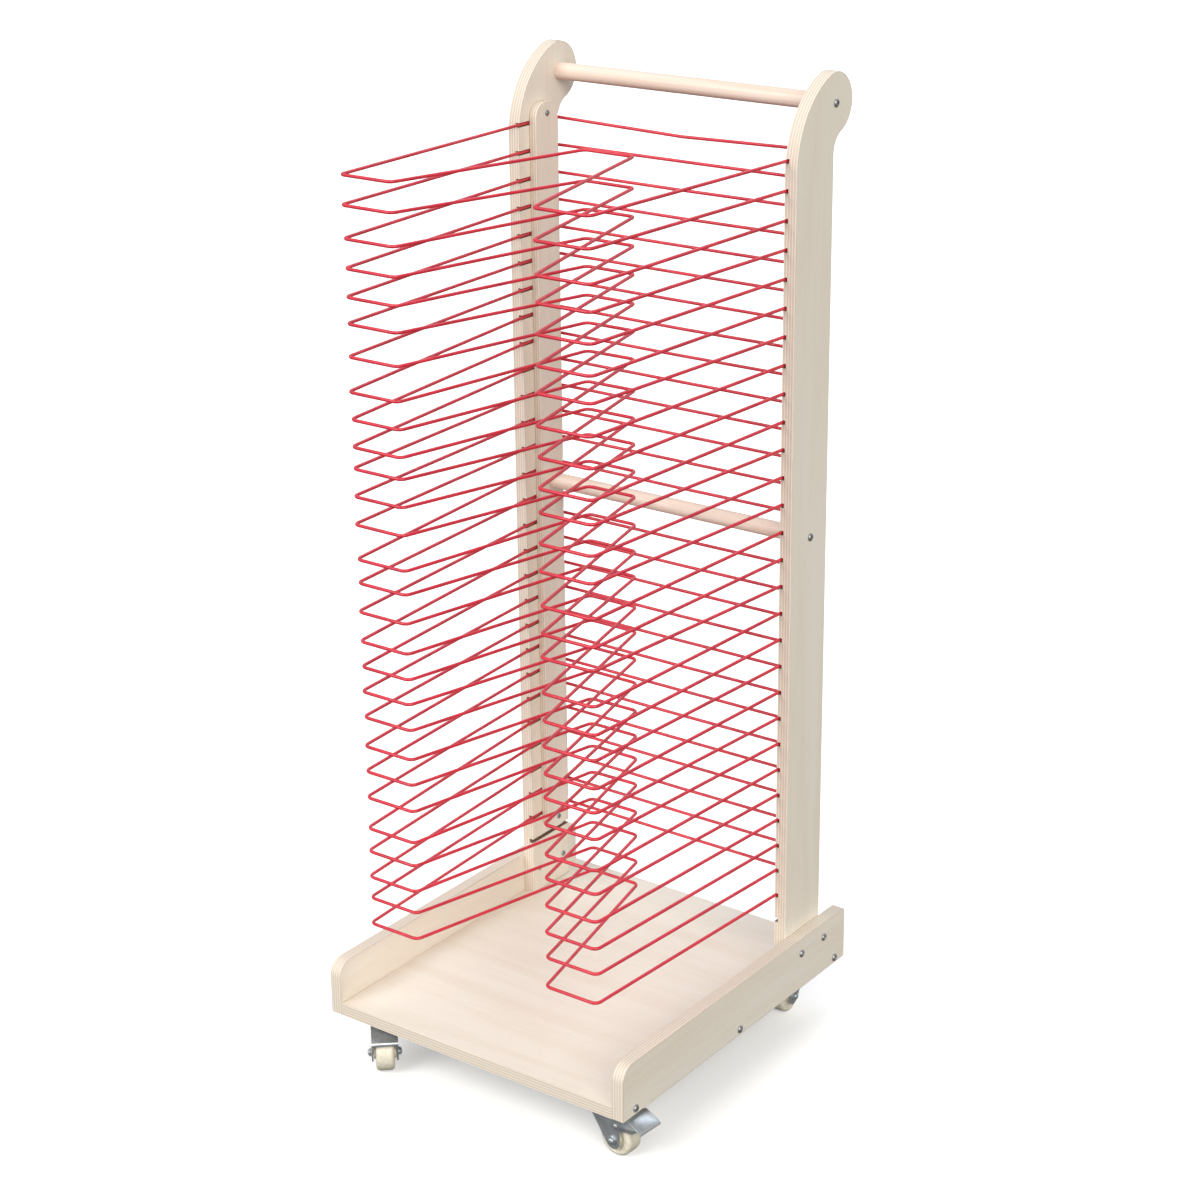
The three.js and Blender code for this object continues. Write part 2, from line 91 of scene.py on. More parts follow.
def length(label, description, millimetres):
    """A size that a user would change."""
    return FloatProperty(name=label, description=description, default=millimetres * MM, unit="LENGTH",
                         precision=4, min=0.0)


def shade(label, description, code):
    """A colour that a user would change."""
    return FloatVectorProperty(name=label, description=description, default=colour(code), size=3,
                               subtype="COLOR", min=0.0, max=1.0)


def amount(label, description, value):
    """A plain number that a user would change."""
    return FloatProperty(name=label, description=description, default=value, min=0.0)


def angle(label, description, degrees):
    """An angle that a user would change."""
    return FloatProperty(name=label, description=description, default=math.radians(degrees),
                         subtype="ANGLE", unit="ROTATION")


def direction(label, description, ahead):
    """A direction that a user would change."""
    return FloatVectorProperty(name=label, description=description, default=ahead, size=3,
                               subtype="DIRECTION")


class RackWood(bpy.types.PropertyGroup):
    """Plywood boards and beech dowels."""
    edge: length("Eased edge", "Rounding of the sanded plywood edges", 1.1)
    side_front: length("Front corner", "Radius of the side boards' front corners", 22)
    side_back: length("Back corner", "Radius of the side boards' back corners", 7)
    strip_corner: length("Strip corner", "Radius of the clamp strips' corners", 20)
    post_depth: length("Post depth", "Front to back of a straight post", 87)
    head_radius: length("Head radius", "Radius of the posts' round heads", 40)
    flare_drop: length("Flare drop", "Top shelf down to where the front edge starts to curve", 15)
    head_fillet: length("Head fillet", "Radius of the hollow under the back of the head", 30)
    groove: length("Wire groove", "Width and depth of the grooves that seat the wires", 6.0)
    ply: length("Ply", "Thickness of one ply, 1.4 mm in the board and thicker here so that it shows", 2)
    pale: shade("Pale veneer", "Light parts of the birch face veneer", "#F3EDE2")
    warm: shade("Warm veneer", "Warm bands of the birch face veneer", "#EDE4D6")
    fleck: shade("Veneer fleck", "Short brown flecks along the grain", "#C29B74")
    long_ply: shade("Long ply", "Plies that run along the cut edge", "#EFE6DA")
    cross_ply: shade("Cross ply", "Plies that show end grain at the cut edge", "#DDD0C0")
    glue: shade("Glue line", "Thin dark lines between the plies", "#B5A290")
    # This colour is painted shade: a dark brown that stands for the shade inside the wire grooves
    groove_shade: shade("Routed wood", "Scorched wood inside the wire grooves", "#917260")
    beech: shade("Beech", "Ground colour of the dowels", "#F3E3D7")
    beech_dark: shade("Dark beech", "Late wood stripes of the dowels", "#E6CCBB")


class RackWire(bpy.types.PropertyGroup):
    """Bent wire shelves."""
    diameter: length("Wire diameter", "Diameter over the powder coat", 4.5)
    bend: length("Prong bend", "Bend radius at the prongs' corners", 9)
    back_bend: length("Back bend", "Bend radius behind the clamp strips", 7.5)
    lean_bend: length("Lean bend", "Bend radius where the wire leans inwards", 14)
    lean_start: length("Lean start", "Post front to where the wire leans inwards", 18.5)
    outer: length("Prong outside", "Middle to the outer run of a prong at its tip", 187)
    inner: length("Prong inside", "Middle to the inner run of a prong at its tip", 107)
    valley: length("Valley half width", "Middle to the bends between the prongs", 38)
    valley_reach: length("Valley reach", "Post front to the wire between the prongs", 83)
    scatter: length("Droop scatter", "How much the right prongs' tips differ in height", 5)
    valley_scatter: length("Valley scatter", "How much the wires between the prongs differ in height", 4)
    bow: length("Top bow", "How far the top shelf's back run hangs at its middle", 5)
    sway: length("Sway", "How much the prongs' tips differ sideways", 1.6)
    sides: IntProperty(name="Sides", description="Facets round the wire", default=12, min=6)
    bend_steps: IntProperty(name="Bend steps", description="Facets along a bend", default=7, min=2)
    seed: IntProperty(name="Seed", description="Choice of the small differences between the shelves",
                      default=11)
    coat: shade("Powder coat", "Coral red of the coating", "#DD2C42")
    coat_deep: shade("Deep coat", "Thicker, deeper parts of the coating", "#C92138")


class RackCaster(bpy.types.PropertyGroup):
    """Swivel casters."""
    wheel: length("Wheel diameter", "Diameter over the tread", 50)
    width: length("Wheel width", "Width of the tread", 25)
    hub: length("Hub diameter", "Diameter of the hub's boss", 18)
    axle: length("Axle diameter", "Diameter of the axle", 6)
    nut: length("Nut diameter", "Across the flats of the axle nuts", 10.4)
    nut_height: length("Nut height", "Cheek to the top of the cap nut", 5)
    sheet: length("Sheet", "Thickness of the pressed steel", 2)
    gap: length("Cheek gap", "Tread to fork cheek", 3.5)
    slack: length("Running gap", "Clearance between turning pieces", 0.3)
    boss: length("Boss radius", "Radius at the lower end of a cheek", 11)
    lead: length("Lead", "Fork ahead of the swivel axis", 9.5)
    lead_edge: length("Leading edge", "Height of the cheek's leading edge", 5)
    crown: length("Crown", "Flat part of the crown behind the swivel axis", 13)
    hood: length("Hood reach", "Axle to the end of the hood over the wheel", 22)
    hood_drop: length("Hood drop", "Slope of the hood", 14)
    hood_lip: length("Hood lip", "Turned-down edge at the end of the hood", 5.5)
    plate: length("Plate", "Side of the mounting plate", 44)
    plate_thick: length("Plate thickness", "Thickness of the mounting plate", 2.5)
    plate_corner: length("Plate corner", "Radius of the plate's corners", 5)
    screw_pitch: length("Screw pitch", "Spacing of the plate's screws", 33)
    cup: length("Cup radius", "Radius of the pressed cup below the plate", 13)
    cup_depth: length("Cup depth", "Depth of the pressed cup below the plate", 3.5)
    kingpin: length("Kingpin diameter", "Diameter of the swivel rivet", 8)
    kingpin_head: length("Kingpin head", "Diameter of the rivet's heads", 13)
    pivot_past: length("Pivot past axle", "Axle to the brake's pivot, along the fork", 7)
    pivot_height: length("Pivot height", "Floor to the brake's pivot", 49)
    pivot: length("Pivot diameter", "Diameter of the brake's stub pivots", 4.4)
    zinc: shade("Zinc", "Bright zinc plate", "#D4D8DB")
    zinc_cool: shade("Cool zinc", "Bluish clouds in the plating", "#BAC1C7")
    bolt: shade("Bolt steel", "Zinc of the bolts and screws", "#B4B7B9")
    nylon: shade("Nylon", "Cream wheel", "#ECE7D8")
    nylon_dark: shade("Dark nylon", "Darker flow marks in the wheel", "#D9D0B5")


class RackFastener(bpy.types.PropertyGroup):
    """Bolts and screws."""
    bolt: length("Bolt head", "Diameter of the button heads", 11)
    bolt_height: length("Bolt height", "Height of the button heads", 2.8)
    key: length("Key size", "Across the flats of the hexagon sockets", 5)
    screw: length("Screw head", "Diameter of the pan heads", 8)
    screw_height: length("Screw height", "Height of the pan heads", 2.0)
    plate_screw: amount("Plate screw size", "Caster plate screws against the strip screws", 0.85)
    post_front: length("Front post bolt", "Post front to the front bolt through its side board", 14.5)
    post_back: length("Back post bolt", "Post front to the back bolt through its side board", 72)
    post_rise: length("Post bolt height", "Foot of the side board to the bolts through the post", 54)
    rail_front: length("Front rail bolt", "Base front to the first bolt into the base board", 27)
    rail_middle: length("Middle rail bolt", "Base front to the second bolt into the base board", 267)
    rail_back: length("Back rail bolt", "Base front to the third bolt into the base board", 507.5)
    rail_rise: length("Rail bolt height", "Foot of the side board to the bolts into the base board", 9)
    strip_end: length("Strip screw", "Outermost shelf to the screw at each end of a clamp strip", 11)


class RackStage(bpy.types.PropertyGroup):
    """Floor, light and camera."""
    floor: shade("Floor", "Plain pale floor", "#FFFFFF")
    glow: amount("Floor glow", "Light in the floor itself, which keeps the shadow on it faint", 0.3)
    zenith: amount("Ceiling", "Brightness of the surround overhead", 0.34)
    horizon: amount("Walls", "Brightness of the surround at eye level", 0.54)
    below: amount("Below", "Brightness of what lights the rack from below", 0.05)
    key: amount("Key light", "Strength of the soft light from above the front left", 1.75)
    key_tint: shade("Key tint", "Neutral colour of the key light", "#FFFDFA")
    key_ahead: direction("Key direction", "Where the key light shines", (0.3, 0.75, -0.59))
    fill: amount("Fill light", "Strength of the soft light from the front right", 1.68)
    fill_tint: shade("Fill tint", "Slightly warm colour of the fill light", "#FFFAEE")
    fill_ahead: direction("Fill direction", "Where the fill light shines", (-0.72, 0.5, -0.48))
    back: amount("Back light", "Strength of the soft light from above the back", 0.8)
    back_tint: shade("Back tint", "Slightly cool colour of the back light", "#E2F0FF")
    back_ahead: direction("Back direction", "Where the back light shines", (0.15, -0.66, -0.74))
    spread: angle("Light spread", "Width of the soft lights as the rack sees them", 40)
    lens: FloatProperty(name="Lens", description="Focal length for a 36 mm sensor", default=79.79,
                        unit="CAMERA")
    lift: FloatProperty(name="Vertical shift", description="Lens shift that the photograph's framing needs",
                        default=-0.05)
    place: FloatVectorProperty(name="Camera", description="Place of the camera", size=3,
                               default=(1.935, -2.616, 1.898), subtype="TRANSLATION", unit="LENGTH")
    pan: angle("Pan", "Turn of the camera to the left of straight ahead", 36.31)
    tilt: angle("Tilt", "Downward tilt of the camera", 19.81)
    roll: angle("Roll", "Roll of the camera", 0.59)


GROUPS = {
    "rack_wood": RackWood,
    "rack_wire": RackWire,
    "rack_caster": RackCaster,
    "rack_fastener": RackFastener,
    "rack_stage": RackStage,
}


# Materials

def add(tree, kind, settings=None, inputs=None, stops=None):
    """Adds a node with its settings, and fills its inputs with values or with other nodes' outputs."""
    node = tree.nodes.new(kind)
    for key, value in (settings or {}).items():
        setattr(node, key, value)
    for key, value in (inputs or {}).items():
        if isinstance(value, bpy.types.Node):
            value = value.outputs[0]
        if isinstance(value, bpy.types.NodeSocket):
            tree.links.new(value, node.inputs[key])
        else:
            node.inputs[key].default_value = value
    if stops:
        marks = node.color_ramp.elements
        while len(marks) < len(stops):
            marks.new(1.0)
        for mark, (place, tone) in zip(marks, stops):
            mark.position = place
            mark.color = (*tone, 1)
    return node


def blank(name, **sockets):
    """A material with one shader, whose constant values are set on its own sockets."""
    material = bpy.data.materials.new(name)
    material.use_nodes = True
    tree = material.node_tree
    tree.nodes.clear()
    values = {key.replace("_", " "): value for key, value in sockets.items()}
    shader = add(tree, "ShaderNodeBsdfPrincipled", inputs=values)
    add(tree, "ShaderNodeOutputMaterial", inputs={"Surface": shader})
    return material, tree, shader


def dress(tree, shader, tone, gloss, relief=None):
    """Links a mixed colour, a roughness (pattern, least, most) and a relief (pattern, strength, mm deep)."""
    tree.links.new(tone.outputs[2], shader.inputs["Base Color"])
    pattern, least, most = gloss
    rough = add(tree, "ShaderNodeMapRange", inputs={"Value": pattern, "To Min": least, "To Max": most})
    tree.links.new(rough.outputs[0], shader.inputs["Roughness"])
    if relief:
        pattern, strength, depth = relief
        bump = add(tree, "ShaderNodeBump", inputs={"Strength": strength, "Distance": depth * MM,
                                                  "Height": pattern})
        tree.links.new(bump.outputs[0], shader.inputs["Normal"])


def grain_scale(grain, across, along):
    """Mapping scale for a noise whose marks are this wide across the grain and this long along it, in mm."""
    return tuple(1 / (MM * (along if axis == grain else across)) for axis in "XYZ")


def birch_veneer(grain):
    """Rotary-cut birch under satin lacquer: pale cream with broad soft bands, fine streaks and short
    brown flecks that all run along the grain."""
    wood = bpy.context.scene.rack_wood
    material, tree, shader = blank("birch_veneer_" + grain.lower(), IOR=1.5)
    place = add(tree, "ShaderNodeTexCoord").outputs["Object"]
    # Cathedral bands about 38 mm wide and 420 mm long
    bands = add(tree, "ShaderNodeMapping", inputs={"Vector": place, "Scale": grain_scale(grain, 38, 420)})
    bands = add(tree, "ShaderNodeTexNoise", inputs={"Vector": bands, "Scale": 1.0, "Detail": 3.0,
                                                   "Roughness": 0.55, "Distortion": 0.5})
    bands = add(tree, "ShaderNodeMapRange", inputs={"Value": bands, "From Min": 0.33, "From Max": 0.68})
    # Streaks are about 1 mm wide in the wood, and 3 mm here so that they show
    streaks = add(tree, "ShaderNodeMapping", inputs={"Vector": place, "Scale": grain_scale(grain, 3, 160)})
    streaks = add(tree, "ShaderNodeTexNoise", inputs={"Vector": streaks, "Scale": 1.0, "Detail": 4.0,
                                                     "Roughness": 0.6})
    # Flecks are about 0.3 mm by 4 mm in the wood, and 0.9 mm by 9 mm here so that they show
    flecks = add(tree, "ShaderNodeMapping", inputs={"Vector": place, "Scale": grain_scale(grain, 0.9, 9)})
    flecks = add(tree, "ShaderNodeTexNoise", inputs={"Vector": flecks, "Scale": 1.0, "Detail": 1.0})
    flecks = add(tree, "ShaderNodeMapRange", inputs={"Value": flecks, "From Min": 0.66, "From Max": 0.8,
                                                    "To Max": 0.25})
    tone = add(tree, "ShaderNodeMix", {"data_type": "RGBA"},
               {0: bands, 6: (*wood.pale, 1), 7: (*wood.warm, 1)})
    faint = add(tree, "ShaderNodeMapRange", inputs={"Value": streaks, "From Min": 0.45, "From Max": 0.75,
                                                   "To Max": 0.07})
    tone = add(tree, "ShaderNodeMix", {"data_type": "RGBA"},
               {0: faint, 6: tone.outputs[2], 7: (*wood.fleck, 1)})
    tone = add(tree, "ShaderNodeMix", {"data_type": "RGBA"},
               {0: flecks, 6: tone.outputs[2], 7: (*wood.fleck, 1)})
    dress(tree, shader, tone, (streaks, 0.4, 0.56), (streaks, 0.25, 0.05))
    return material


def plywood_edge(name, axis, origin, mirrored):
    """Sanded plywood edge: plies that run along the cut alternate with darker end-grain plies, with thin
    glue lines between them."""
    wood = bpy.context.scene.rack_wood
    material, tree, shader = blank(name, IOR=1.5)
    place = add(tree, "ShaderNodeTexCoord").outputs["Object"]
    depth = add(tree, "ShaderNodeSeparateXYZ", inputs={0: place}).outputs[axis]
    if mirrored:
        depth = add(tree, "ShaderNodeMath", {"operation": "SUBTRACT"}, {0: depth, 1: MIDDLE})
        depth = add(tree, "ShaderNodeMath", {"operation": "ABSOLUTE"}, {0: depth})
    # One light and one dark ply make a step, which wavers a little over about 150 mm along the cut
    waver = add(tree, "ShaderNodeTexNoise", inputs={"Vector": place, "Scale": 1 / (150 * MM), "Detail": 1.0})
    waver = add(tree, "ShaderNodeMapRange", inputs={"Value": waver, "To Min": -0.2 * wood.ply,
                                                   "To Max": 0.2 * wood.ply})
    depth = add(tree, "ShaderNodeMath", {"operation": "SUBTRACT"}, {0: depth, 1: origin})
    depth = add(tree, "ShaderNodeMath", {"operation": "ADD"}, {0: depth, 1: waver})
    layer = add(tree, "ShaderNodeMath", {"operation": "DIVIDE"}, {0: depth, 1: 2 * wood.ply})
    layer = add(tree, "ShaderNodeMath", {"operation": "FRACT"}, {0: layer})
    plies = add(tree, "ShaderNodeValToRGB", inputs={0: layer}, stops=(
        (0.0, wood.glue), (0.06, wood.long_ply), (0.46, wood.long_ply), (0.5, wood.glue),
        (0.56, wood.cross_ply), (0.95, wood.cross_ply), (1.0, wood.glue)))
    # Saw and sanding marks about 2 mm apart along the edge
    marks = add(tree, "ShaderNodeTexNoise", inputs={"Vector": place, "Scale": 1 / (2 * MM), "Detail": 3.0,
                                                   "Roughness": 0.6})
    faint = add(tree, "ShaderNodeMapRange", inputs={"Value": marks, "From Min": 0.45, "From Max": 0.8,
                                                   "To Max": 0.2})
    tone = add(tree, "ShaderNodeMix", {"data_type": "RGBA"},
               {0: faint, 6: plies.outputs[0], 7: (*wood.cross_ply, 1)})
    dress(tree, shader, tone, (marks, 0.5, 0.68), (marks, 0.3, 0.08))
    return material


def routed_groove():
    """Groove cut across the plies with a router, given painted shade: dull dark brown that stands for the
    shade inside it, streaked along the groove.
    """
    wood = bpy.context.scene.rack_wood
    material, tree, shader = blank("routed_groove", IOR=1.5)
    place = add(tree, "ShaderNodeTexCoord").outputs["Object"]
    # Streaks in the painted shade, about 1.5 mm wide and 25 mm long
    streaks = add(tree, "ShaderNodeMapping", inputs={"Vector": place, "Scale": grain_scale("Y", 1.5, 25)})
    streaks = add(tree, "ShaderNodeTexNoise", inputs={"Vector": streaks, "Scale": 1.0, "Detail": 3.0})
    shade_streaks = add(tree, "ShaderNodeMapRange", inputs={"Value": streaks, "From Min": 0.35, "From Max": 0.7,
                                                    "To Max": 0.45})
    # The painted shade darkens towards the glue-line colour along the streaks
    tone = add(tree, "ShaderNodeMix", {"data_type": "RGBA"},
               {0: shade_streaks, 6: (*wood.groove_shade, 1), 7: (*wood.glue, 1)})
    dress(tree, shader, tone, (streaks, 0.6, 0.8))
    return material


def beech_dowel():
    """Turned beech under satin lacquer: pinkish tan with long late-wood stripes and small dark ray flecks."""
    wood = bpy.context.scene.rack_wood
    material, tree, shader = blank("beech_dowel", IOR=1.5, Coat_Weight=0.12, Coat_Roughness=0.3)
    place = add(tree, "ShaderNodeTexCoord").outputs["Object"]
    # Stripes about 5 mm wide and 260 mm long
    stripes = add(tree, "ShaderNodeMapping", inputs={"Vector": place, "Scale": grain_scale("X", 5, 260)})
    stripes = add(tree, "ShaderNodeTexNoise", inputs={"Vector": stripes, "Scale": 1.0, "Detail": 4.0,
                                                     "Roughness": 0.6})
    ground = add(tree, "ShaderNodeMapRange", inputs={"Value": stripes, "From Min": 0.35, "From Max": 0.72})
    # Ray flecks are about 0.3 mm by 2 mm in the wood, and 0.8 mm by 5 mm here so that they show
    rays = add(tree, "ShaderNodeMapping", inputs={"Vector": place, "Scale": grain_scale("X", 0.8, 5)})
    rays = add(tree, "ShaderNodeTexNoise", inputs={"Vector": rays, "Scale": 1.0, "Detail": 1.0})
    rays = add(tree, "ShaderNodeMapRange", inputs={"Value": rays, "From Min": 0.62, "From Max": 0.76,
                                                  "To Max": 0.5})
    tone = add(tree, "ShaderNodeMix", {"data_type": "RGBA"},
               {0: ground, 6: (*wood.beech, 1), 7: (*wood.beech_dark, 1)})
    tone = add(tree, "ShaderNodeMix", {"data_type": "RGBA"},
               {0: rays, 6: tone.outputs[2], 7: (*wood.beech_dark, 1)})
    dress(tree, shader, tone, (stripes, 0.36, 0.52), (rays, 0.2, 0.05))
    return material


def red_powder_coat():
    """Semi-gloss powder coat on steel wire: coral red, a little deeper where it lies thick, with the fine
    orange peel of the baked powder."""
    wire = bpy.context.scene.rack_wire
    material, tree, shader = blank("red_powder_coat", IOR=1.5, Coat_Weight=0.4, Coat_Roughness=0.15)
    place = add(tree, "ShaderNodeTexCoord").outputs["Object"]
    # Thickness changes over about 30 mm
    thick = add(tree, "ShaderNodeTexNoise", inputs={"Vector": place, "Scale": 1 / (30 * MM), "Detail": 2.0})
    thick = add(tree, "ShaderNodeMapRange", inputs={"Value": thick, "From Min": 0.35, "From Max": 0.7})
    tone = add(tree, "ShaderNodeMix", {"data_type": "RGBA"},
               {0: thick, 6: (*wire.coat, 1), 7: (*wire.coat_deep, 1)})
    # Orange peel about 1.2 mm from crest to crest
    peel = add(tree, "ShaderNodeTexNoise", inputs={"Vector": place, "Scale": 1 / (1.2 * MM), "Detail": 1.0})
    dress(tree, shader, tone, (peel, 0.3, 0.44), (peel, 0.35, 0.04))
    return material


def zinc_plate(name, light, dark):
    """Zinc plate on steel: shiny grey with faint bluish clouds and fine handling scuffs."""
    material, tree, shader = blank(name, Metallic=0.8)
    place = add(tree, "ShaderNodeTexCoord").outputs["Object"]
    # Clouds about 14 mm across
    clouds = add(tree, "ShaderNodeTexNoise", inputs={"Vector": place, "Scale": 1 / (14 * MM), "Detail": 2.0})
    clouds = add(tree, "ShaderNodeMapRange", inputs={"Value": clouds, "From Min": 0.38, "From Max": 0.66})
    tone = add(tree, "ShaderNodeMix", {"data_type": "RGBA"}, {0: clouds, 6: (*light, 1), 7: (*dark, 1)})
    # Scuffs about 1.5 mm wide and 12 mm long
    scuffs = add(tree, "ShaderNodeMapping", inputs={"Vector": place, "Scale": grain_scale("Y", 1.5, 12)})
    scuffs = add(tree, "ShaderNodeTexNoise", inputs={"Vector": scuffs, "Scale": 1.0, "Detail": 2.0})
    dress(tree, shader, tone, (scuffs, 0.26, 0.42), (scuffs, 0.1, 0.01))
    return material


def caster_zinc():
    """Bright zinc on the casters' pressings."""
    caster = bpy.context.scene.rack_caster
    return zinc_plate("bright_zinc_plate", caster.zinc, caster.zinc_cool)


def bolt_zinc():
    """Duller, patchier zinc on the bolts and screws."""
    caster = bpy.context.scene.rack_caster
    return zinc_plate("dull_zinc_plate", caster.bolt, [0.7 * c for c in caster.bolt])


def moulded_nylon():
    """Moulded nylon wheel: waxy cream with soft flow marks and a slightly scuffed tread."""
    caster = bpy.context.scene.rack_caster
    material, tree, shader = blank("moulded_nylon", IOR=1.53, Subsurface_Weight=0.12, Subsurface_Scale=2 * MM)
    shader.inputs["Subsurface Radius"].default_value = (1.0, 0.8, 0.5)
    place = add(tree, "ShaderNodeTexCoord").outputs["Object"]
    # Flow marks about 6 mm across
    flow = add(tree, "ShaderNodeTexNoise", inputs={"Vector": place, "Scale": 1 / (6 * MM), "Detail": 3.0,
                                                  "Distortion": 0.8})
    marks = add(tree, "ShaderNodeMapRange", inputs={"Value": flow, "From Min": 0.4, "From Max": 0.72,
                                                   "To Max": 0.8})
    tone = add(tree, "ShaderNodeMix", {"data_type": "RGBA"},
               {0: marks, 6: (*caster.nylon, 1), 7: (*caster.nylon_dark, 1)})
    # Fine grit marks about 0.8 mm across
    grit = add(tree, "ShaderNodeTexNoise", inputs={"Vector": place, "Scale": 1 / (0.8 * MM), "Detail": 2.0})
    dress(tree, shader, tone, (grit, 0.32, 0.52), (grit, 0.2, 0.03))
    return material


MAKERS = {
    "birch_x": lambda: birch_veneer("X"),
    "birch_y": lambda: birch_veneer("Y"),
    "birch_z": lambda: birch_veneer("Z"),
    "upright_edge": lambda: plywood_edge("plywood_edge_upright", "X", SIDE_HIGH.x - MIDDLE, True),
    "base_edge": lambda: plywood_edge("plywood_edge_base", "Z", BOARD_LOW.z, False),
    # Painted shade for the insides of the wire grooves
    "groove": routed_groove,
    "beech": beech_dowel,
    "red": red_powder_coat,
    "zinc": caster_zinc,
    "bolt": bolt_zinc,
    "nylon": moulded_nylon,
}
MADE = {}


def finish_of(name):
    """One of the rack's materials, made when it is first asked for."""
    if name not in MADE:
        MADE[name] = MAKERS[name]()
    return MADE[name]


# Outlines and meshes

def rounded(corners, steps=12):
    """Points of a flat loop whose corners (a, b, radius) are turned to arcs."""
    points = []
    for i, (a, b, radius) in enumerate(corners):
        here = Vector((a, b))
        inward = (here - Vector(corners[i - 1][:2])).normalized()
        onward = (Vector(corners[(i + 1) % len(corners)][:2]) - here).normalized()
        turn = math.atan2(inward.x * onward.y - inward.y * onward.x, inward.dot(onward))
        if radius == 0:
            points.append(here)
            continue
        start = here - inward * radius * math.tan(abs(turn) / 2)
        centre = start + Vector((-inward.y, inward.x)) * math.copysign(radius, turn)
        for k in range(steps + 1):
            points.append(centre + Matrix.Rotation(turn * k / steps, 2) @ (start - centre))
    return points


def arc(centre, radius, start, end, steps):
    """Points along part of a circle."""
    angles = [start + (end - start) * k / steps for k in range(steps + 1)]
    return [Vector((centre[0] + radius * math.cos(t), centre[1] + radius * math.sin(t))) for t in angles]


def slab(bm, outline, axis, low, high):
    """A closed plate: a flat outline on two axes, run along the third."""
    rings = []
    for level in (low, high):
        corners = []
        for point in outline:
            place = list(point)
            place.insert("XYZ".index(axis), level)
            corners.append(bm.verts.new(place))
        rings.append(corners)
    bm.faces.new(rings[0])
    bm.faces.new(rings[1])
    for i in range(len(outline)):
        bm.faces.new((rings[0][i - 1], rings[0][i], rings[1][i], rings[1][i - 1]))


def turned(bm, profile, sides, place=Matrix.Identity(4)):
    """A shape turned about Z from (radius, height) points that start and end on the axis or close up."""
    rings = []
    for radius, height in profile:
        count = sides if radius > 0 else 1
        angles = [2 * math.pi * k / sides for k in range(count)]
        rings.append([bm.verts.new(place @ Vector((radius * math.cos(t), radius * math.sin(t), height)))
                      for t in angles])
    pairs = list(zip(rings, rings[1:]))
    if len(rings[0]) > 1:
        pairs.append((rings[-1], rings[0]))
    for one, two in pairs:
        for k in range(sides):
            corners = [one[(k - 1) % len(one)], one[k % len(one)], two[k % len(two)], two[(k - 1) % len(two)]]
            bm.faces.new(list(dict.fromkeys(corners)))


def lofted(bm, rings, place=Matrix.Identity(4)):
    """A closed shape through rings of as many points each, with flat ends."""
    made = [[bm.verts.new(place @ Vector(point)) for point in points] for points in rings]
    for one, two in zip(made, made[1:]):
        for k in range(len(one)):
            bm.faces.new((one[k - 1], one[k], two[k], two[k - 1]))
    bm.faces.new(made[0])
    bm.faces.new(made[-1])


def ring(height, radius, sides=24):
    """A level ring whose radius may be a number or a function of the angle."""
    angles = [2 * math.pi * k / sides for k in range(sides)]
    reach = [radius(t) if callable(radius) else radius for t in angles]
    return [(r * math.cos(t), r * math.sin(t), height) for r, t in zip(reach, angles)]


def hexagon(flats):
    """Radius of a hexagon at an angle."""
    return lambda t: flats / 2 / math.cos((t + math.pi / 6) % (math.pi / 3) - math.pi / 6)


def cross_slot(reach):
    """Radius of a cross-shaped recess at an angle."""
    half = reach * math.tan(math.radians(15))

    def radius(t):
        c = max(abs(math.cos(t)), 1e-6)
        s = max(abs(math.sin(t)), 1e-6)
        return max(min(reach / c, half / s), min(half / c, reach / s))

    return radius


def piece(name, bm, *finishes):
    """A new object at the origin from a bmesh."""
    bmesh.ops.recalc_face_normals(bm, faces=bm.faces)
    mesh = bpy.data.meshes.new(name)
    bm.to_mesh(mesh)
    bm.free()
    for finish in finishes:
        mesh.materials.append(finish_of(finish))
    obj = bpy.data.objects.new(name, mesh)
    bpy.context.scene.collection.objects.link(obj)
    return obj


def settle(obj):
    """Turns an object's modifiers into a plain mesh."""
    depsgraph = bpy.context.evaluated_depsgraph_get()
    mesh = bpy.data.meshes.new_from_object(obj.evaluated_get(depsgraph), depsgraph=depsgraph)
    old = obj.data
    obj.modifiers.clear()
    obj.data = mesh
    bpy.data.meshes.remove(old)
    return obj


def carve(obj, *tools):
    """Cuts other objects out of one, and removes them."""
    for tool in tools:
        modifier = obj.modifiers.new("carve", "BOOLEAN")
        modifier.operation = "DIFFERENCE"
        modifier.solver = "EXACT"
        modifier.object = tool
    settle(obj)
    for tool in tools:
        bpy.data.objects.remove(tool)
    return obj


def ease(obj, width, segments=2, degrees=35):
    """Rounds an object's sharp edges and shades it smooth."""
    obj.data.polygons.foreach_set("use_smooth", [True] * len(obj.data.polygons))
    modifier = obj.modifiers.new("ease", "BEVEL")
    modifier.width = width
    modifier.segments = segments
    modifier.limit_method = "ANGLE"
    modifier.angle_limit = math.radians(degrees)
    modifier.harden_normals = True
    return settle(obj)


def smooth(obj, degrees=40):
    """Shades an object smooth, apart from its sharp edges."""
    bm = bmesh.new()
    bm.from_mesh(obj.data)
    for face in bm.faces:
        face.smooth = True
    for edge in bm.edges:
        edge.smooth = edge.calc_face_angle(0.0) < math.radians(degrees)
    bm.to_mesh(obj.data)
    bm.free()
    return obj


def seat(obj, body, slot, *nodes):
    """Hands a finished piece to the frame."""
    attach(obj, body)
    if nodes:
        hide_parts(*nodes)
    return obj


def sort_faces(obj, axis, planes):
    """Gives the veneer to the faces that lie on the board's two faces, and the ply edge to the rest."""
    index = "XYZ".index(axis)
    square = 0.98
    close = 0.4 * MM
    for polygon in obj.data.polygons:
        flat = abs(polygon.normal[index]) > square
        near = min(abs(polygon.center[index] - plane) for plane in planes) < close
        polygon.material_index = 0 if flat and near else 1


# Geometry Nodes

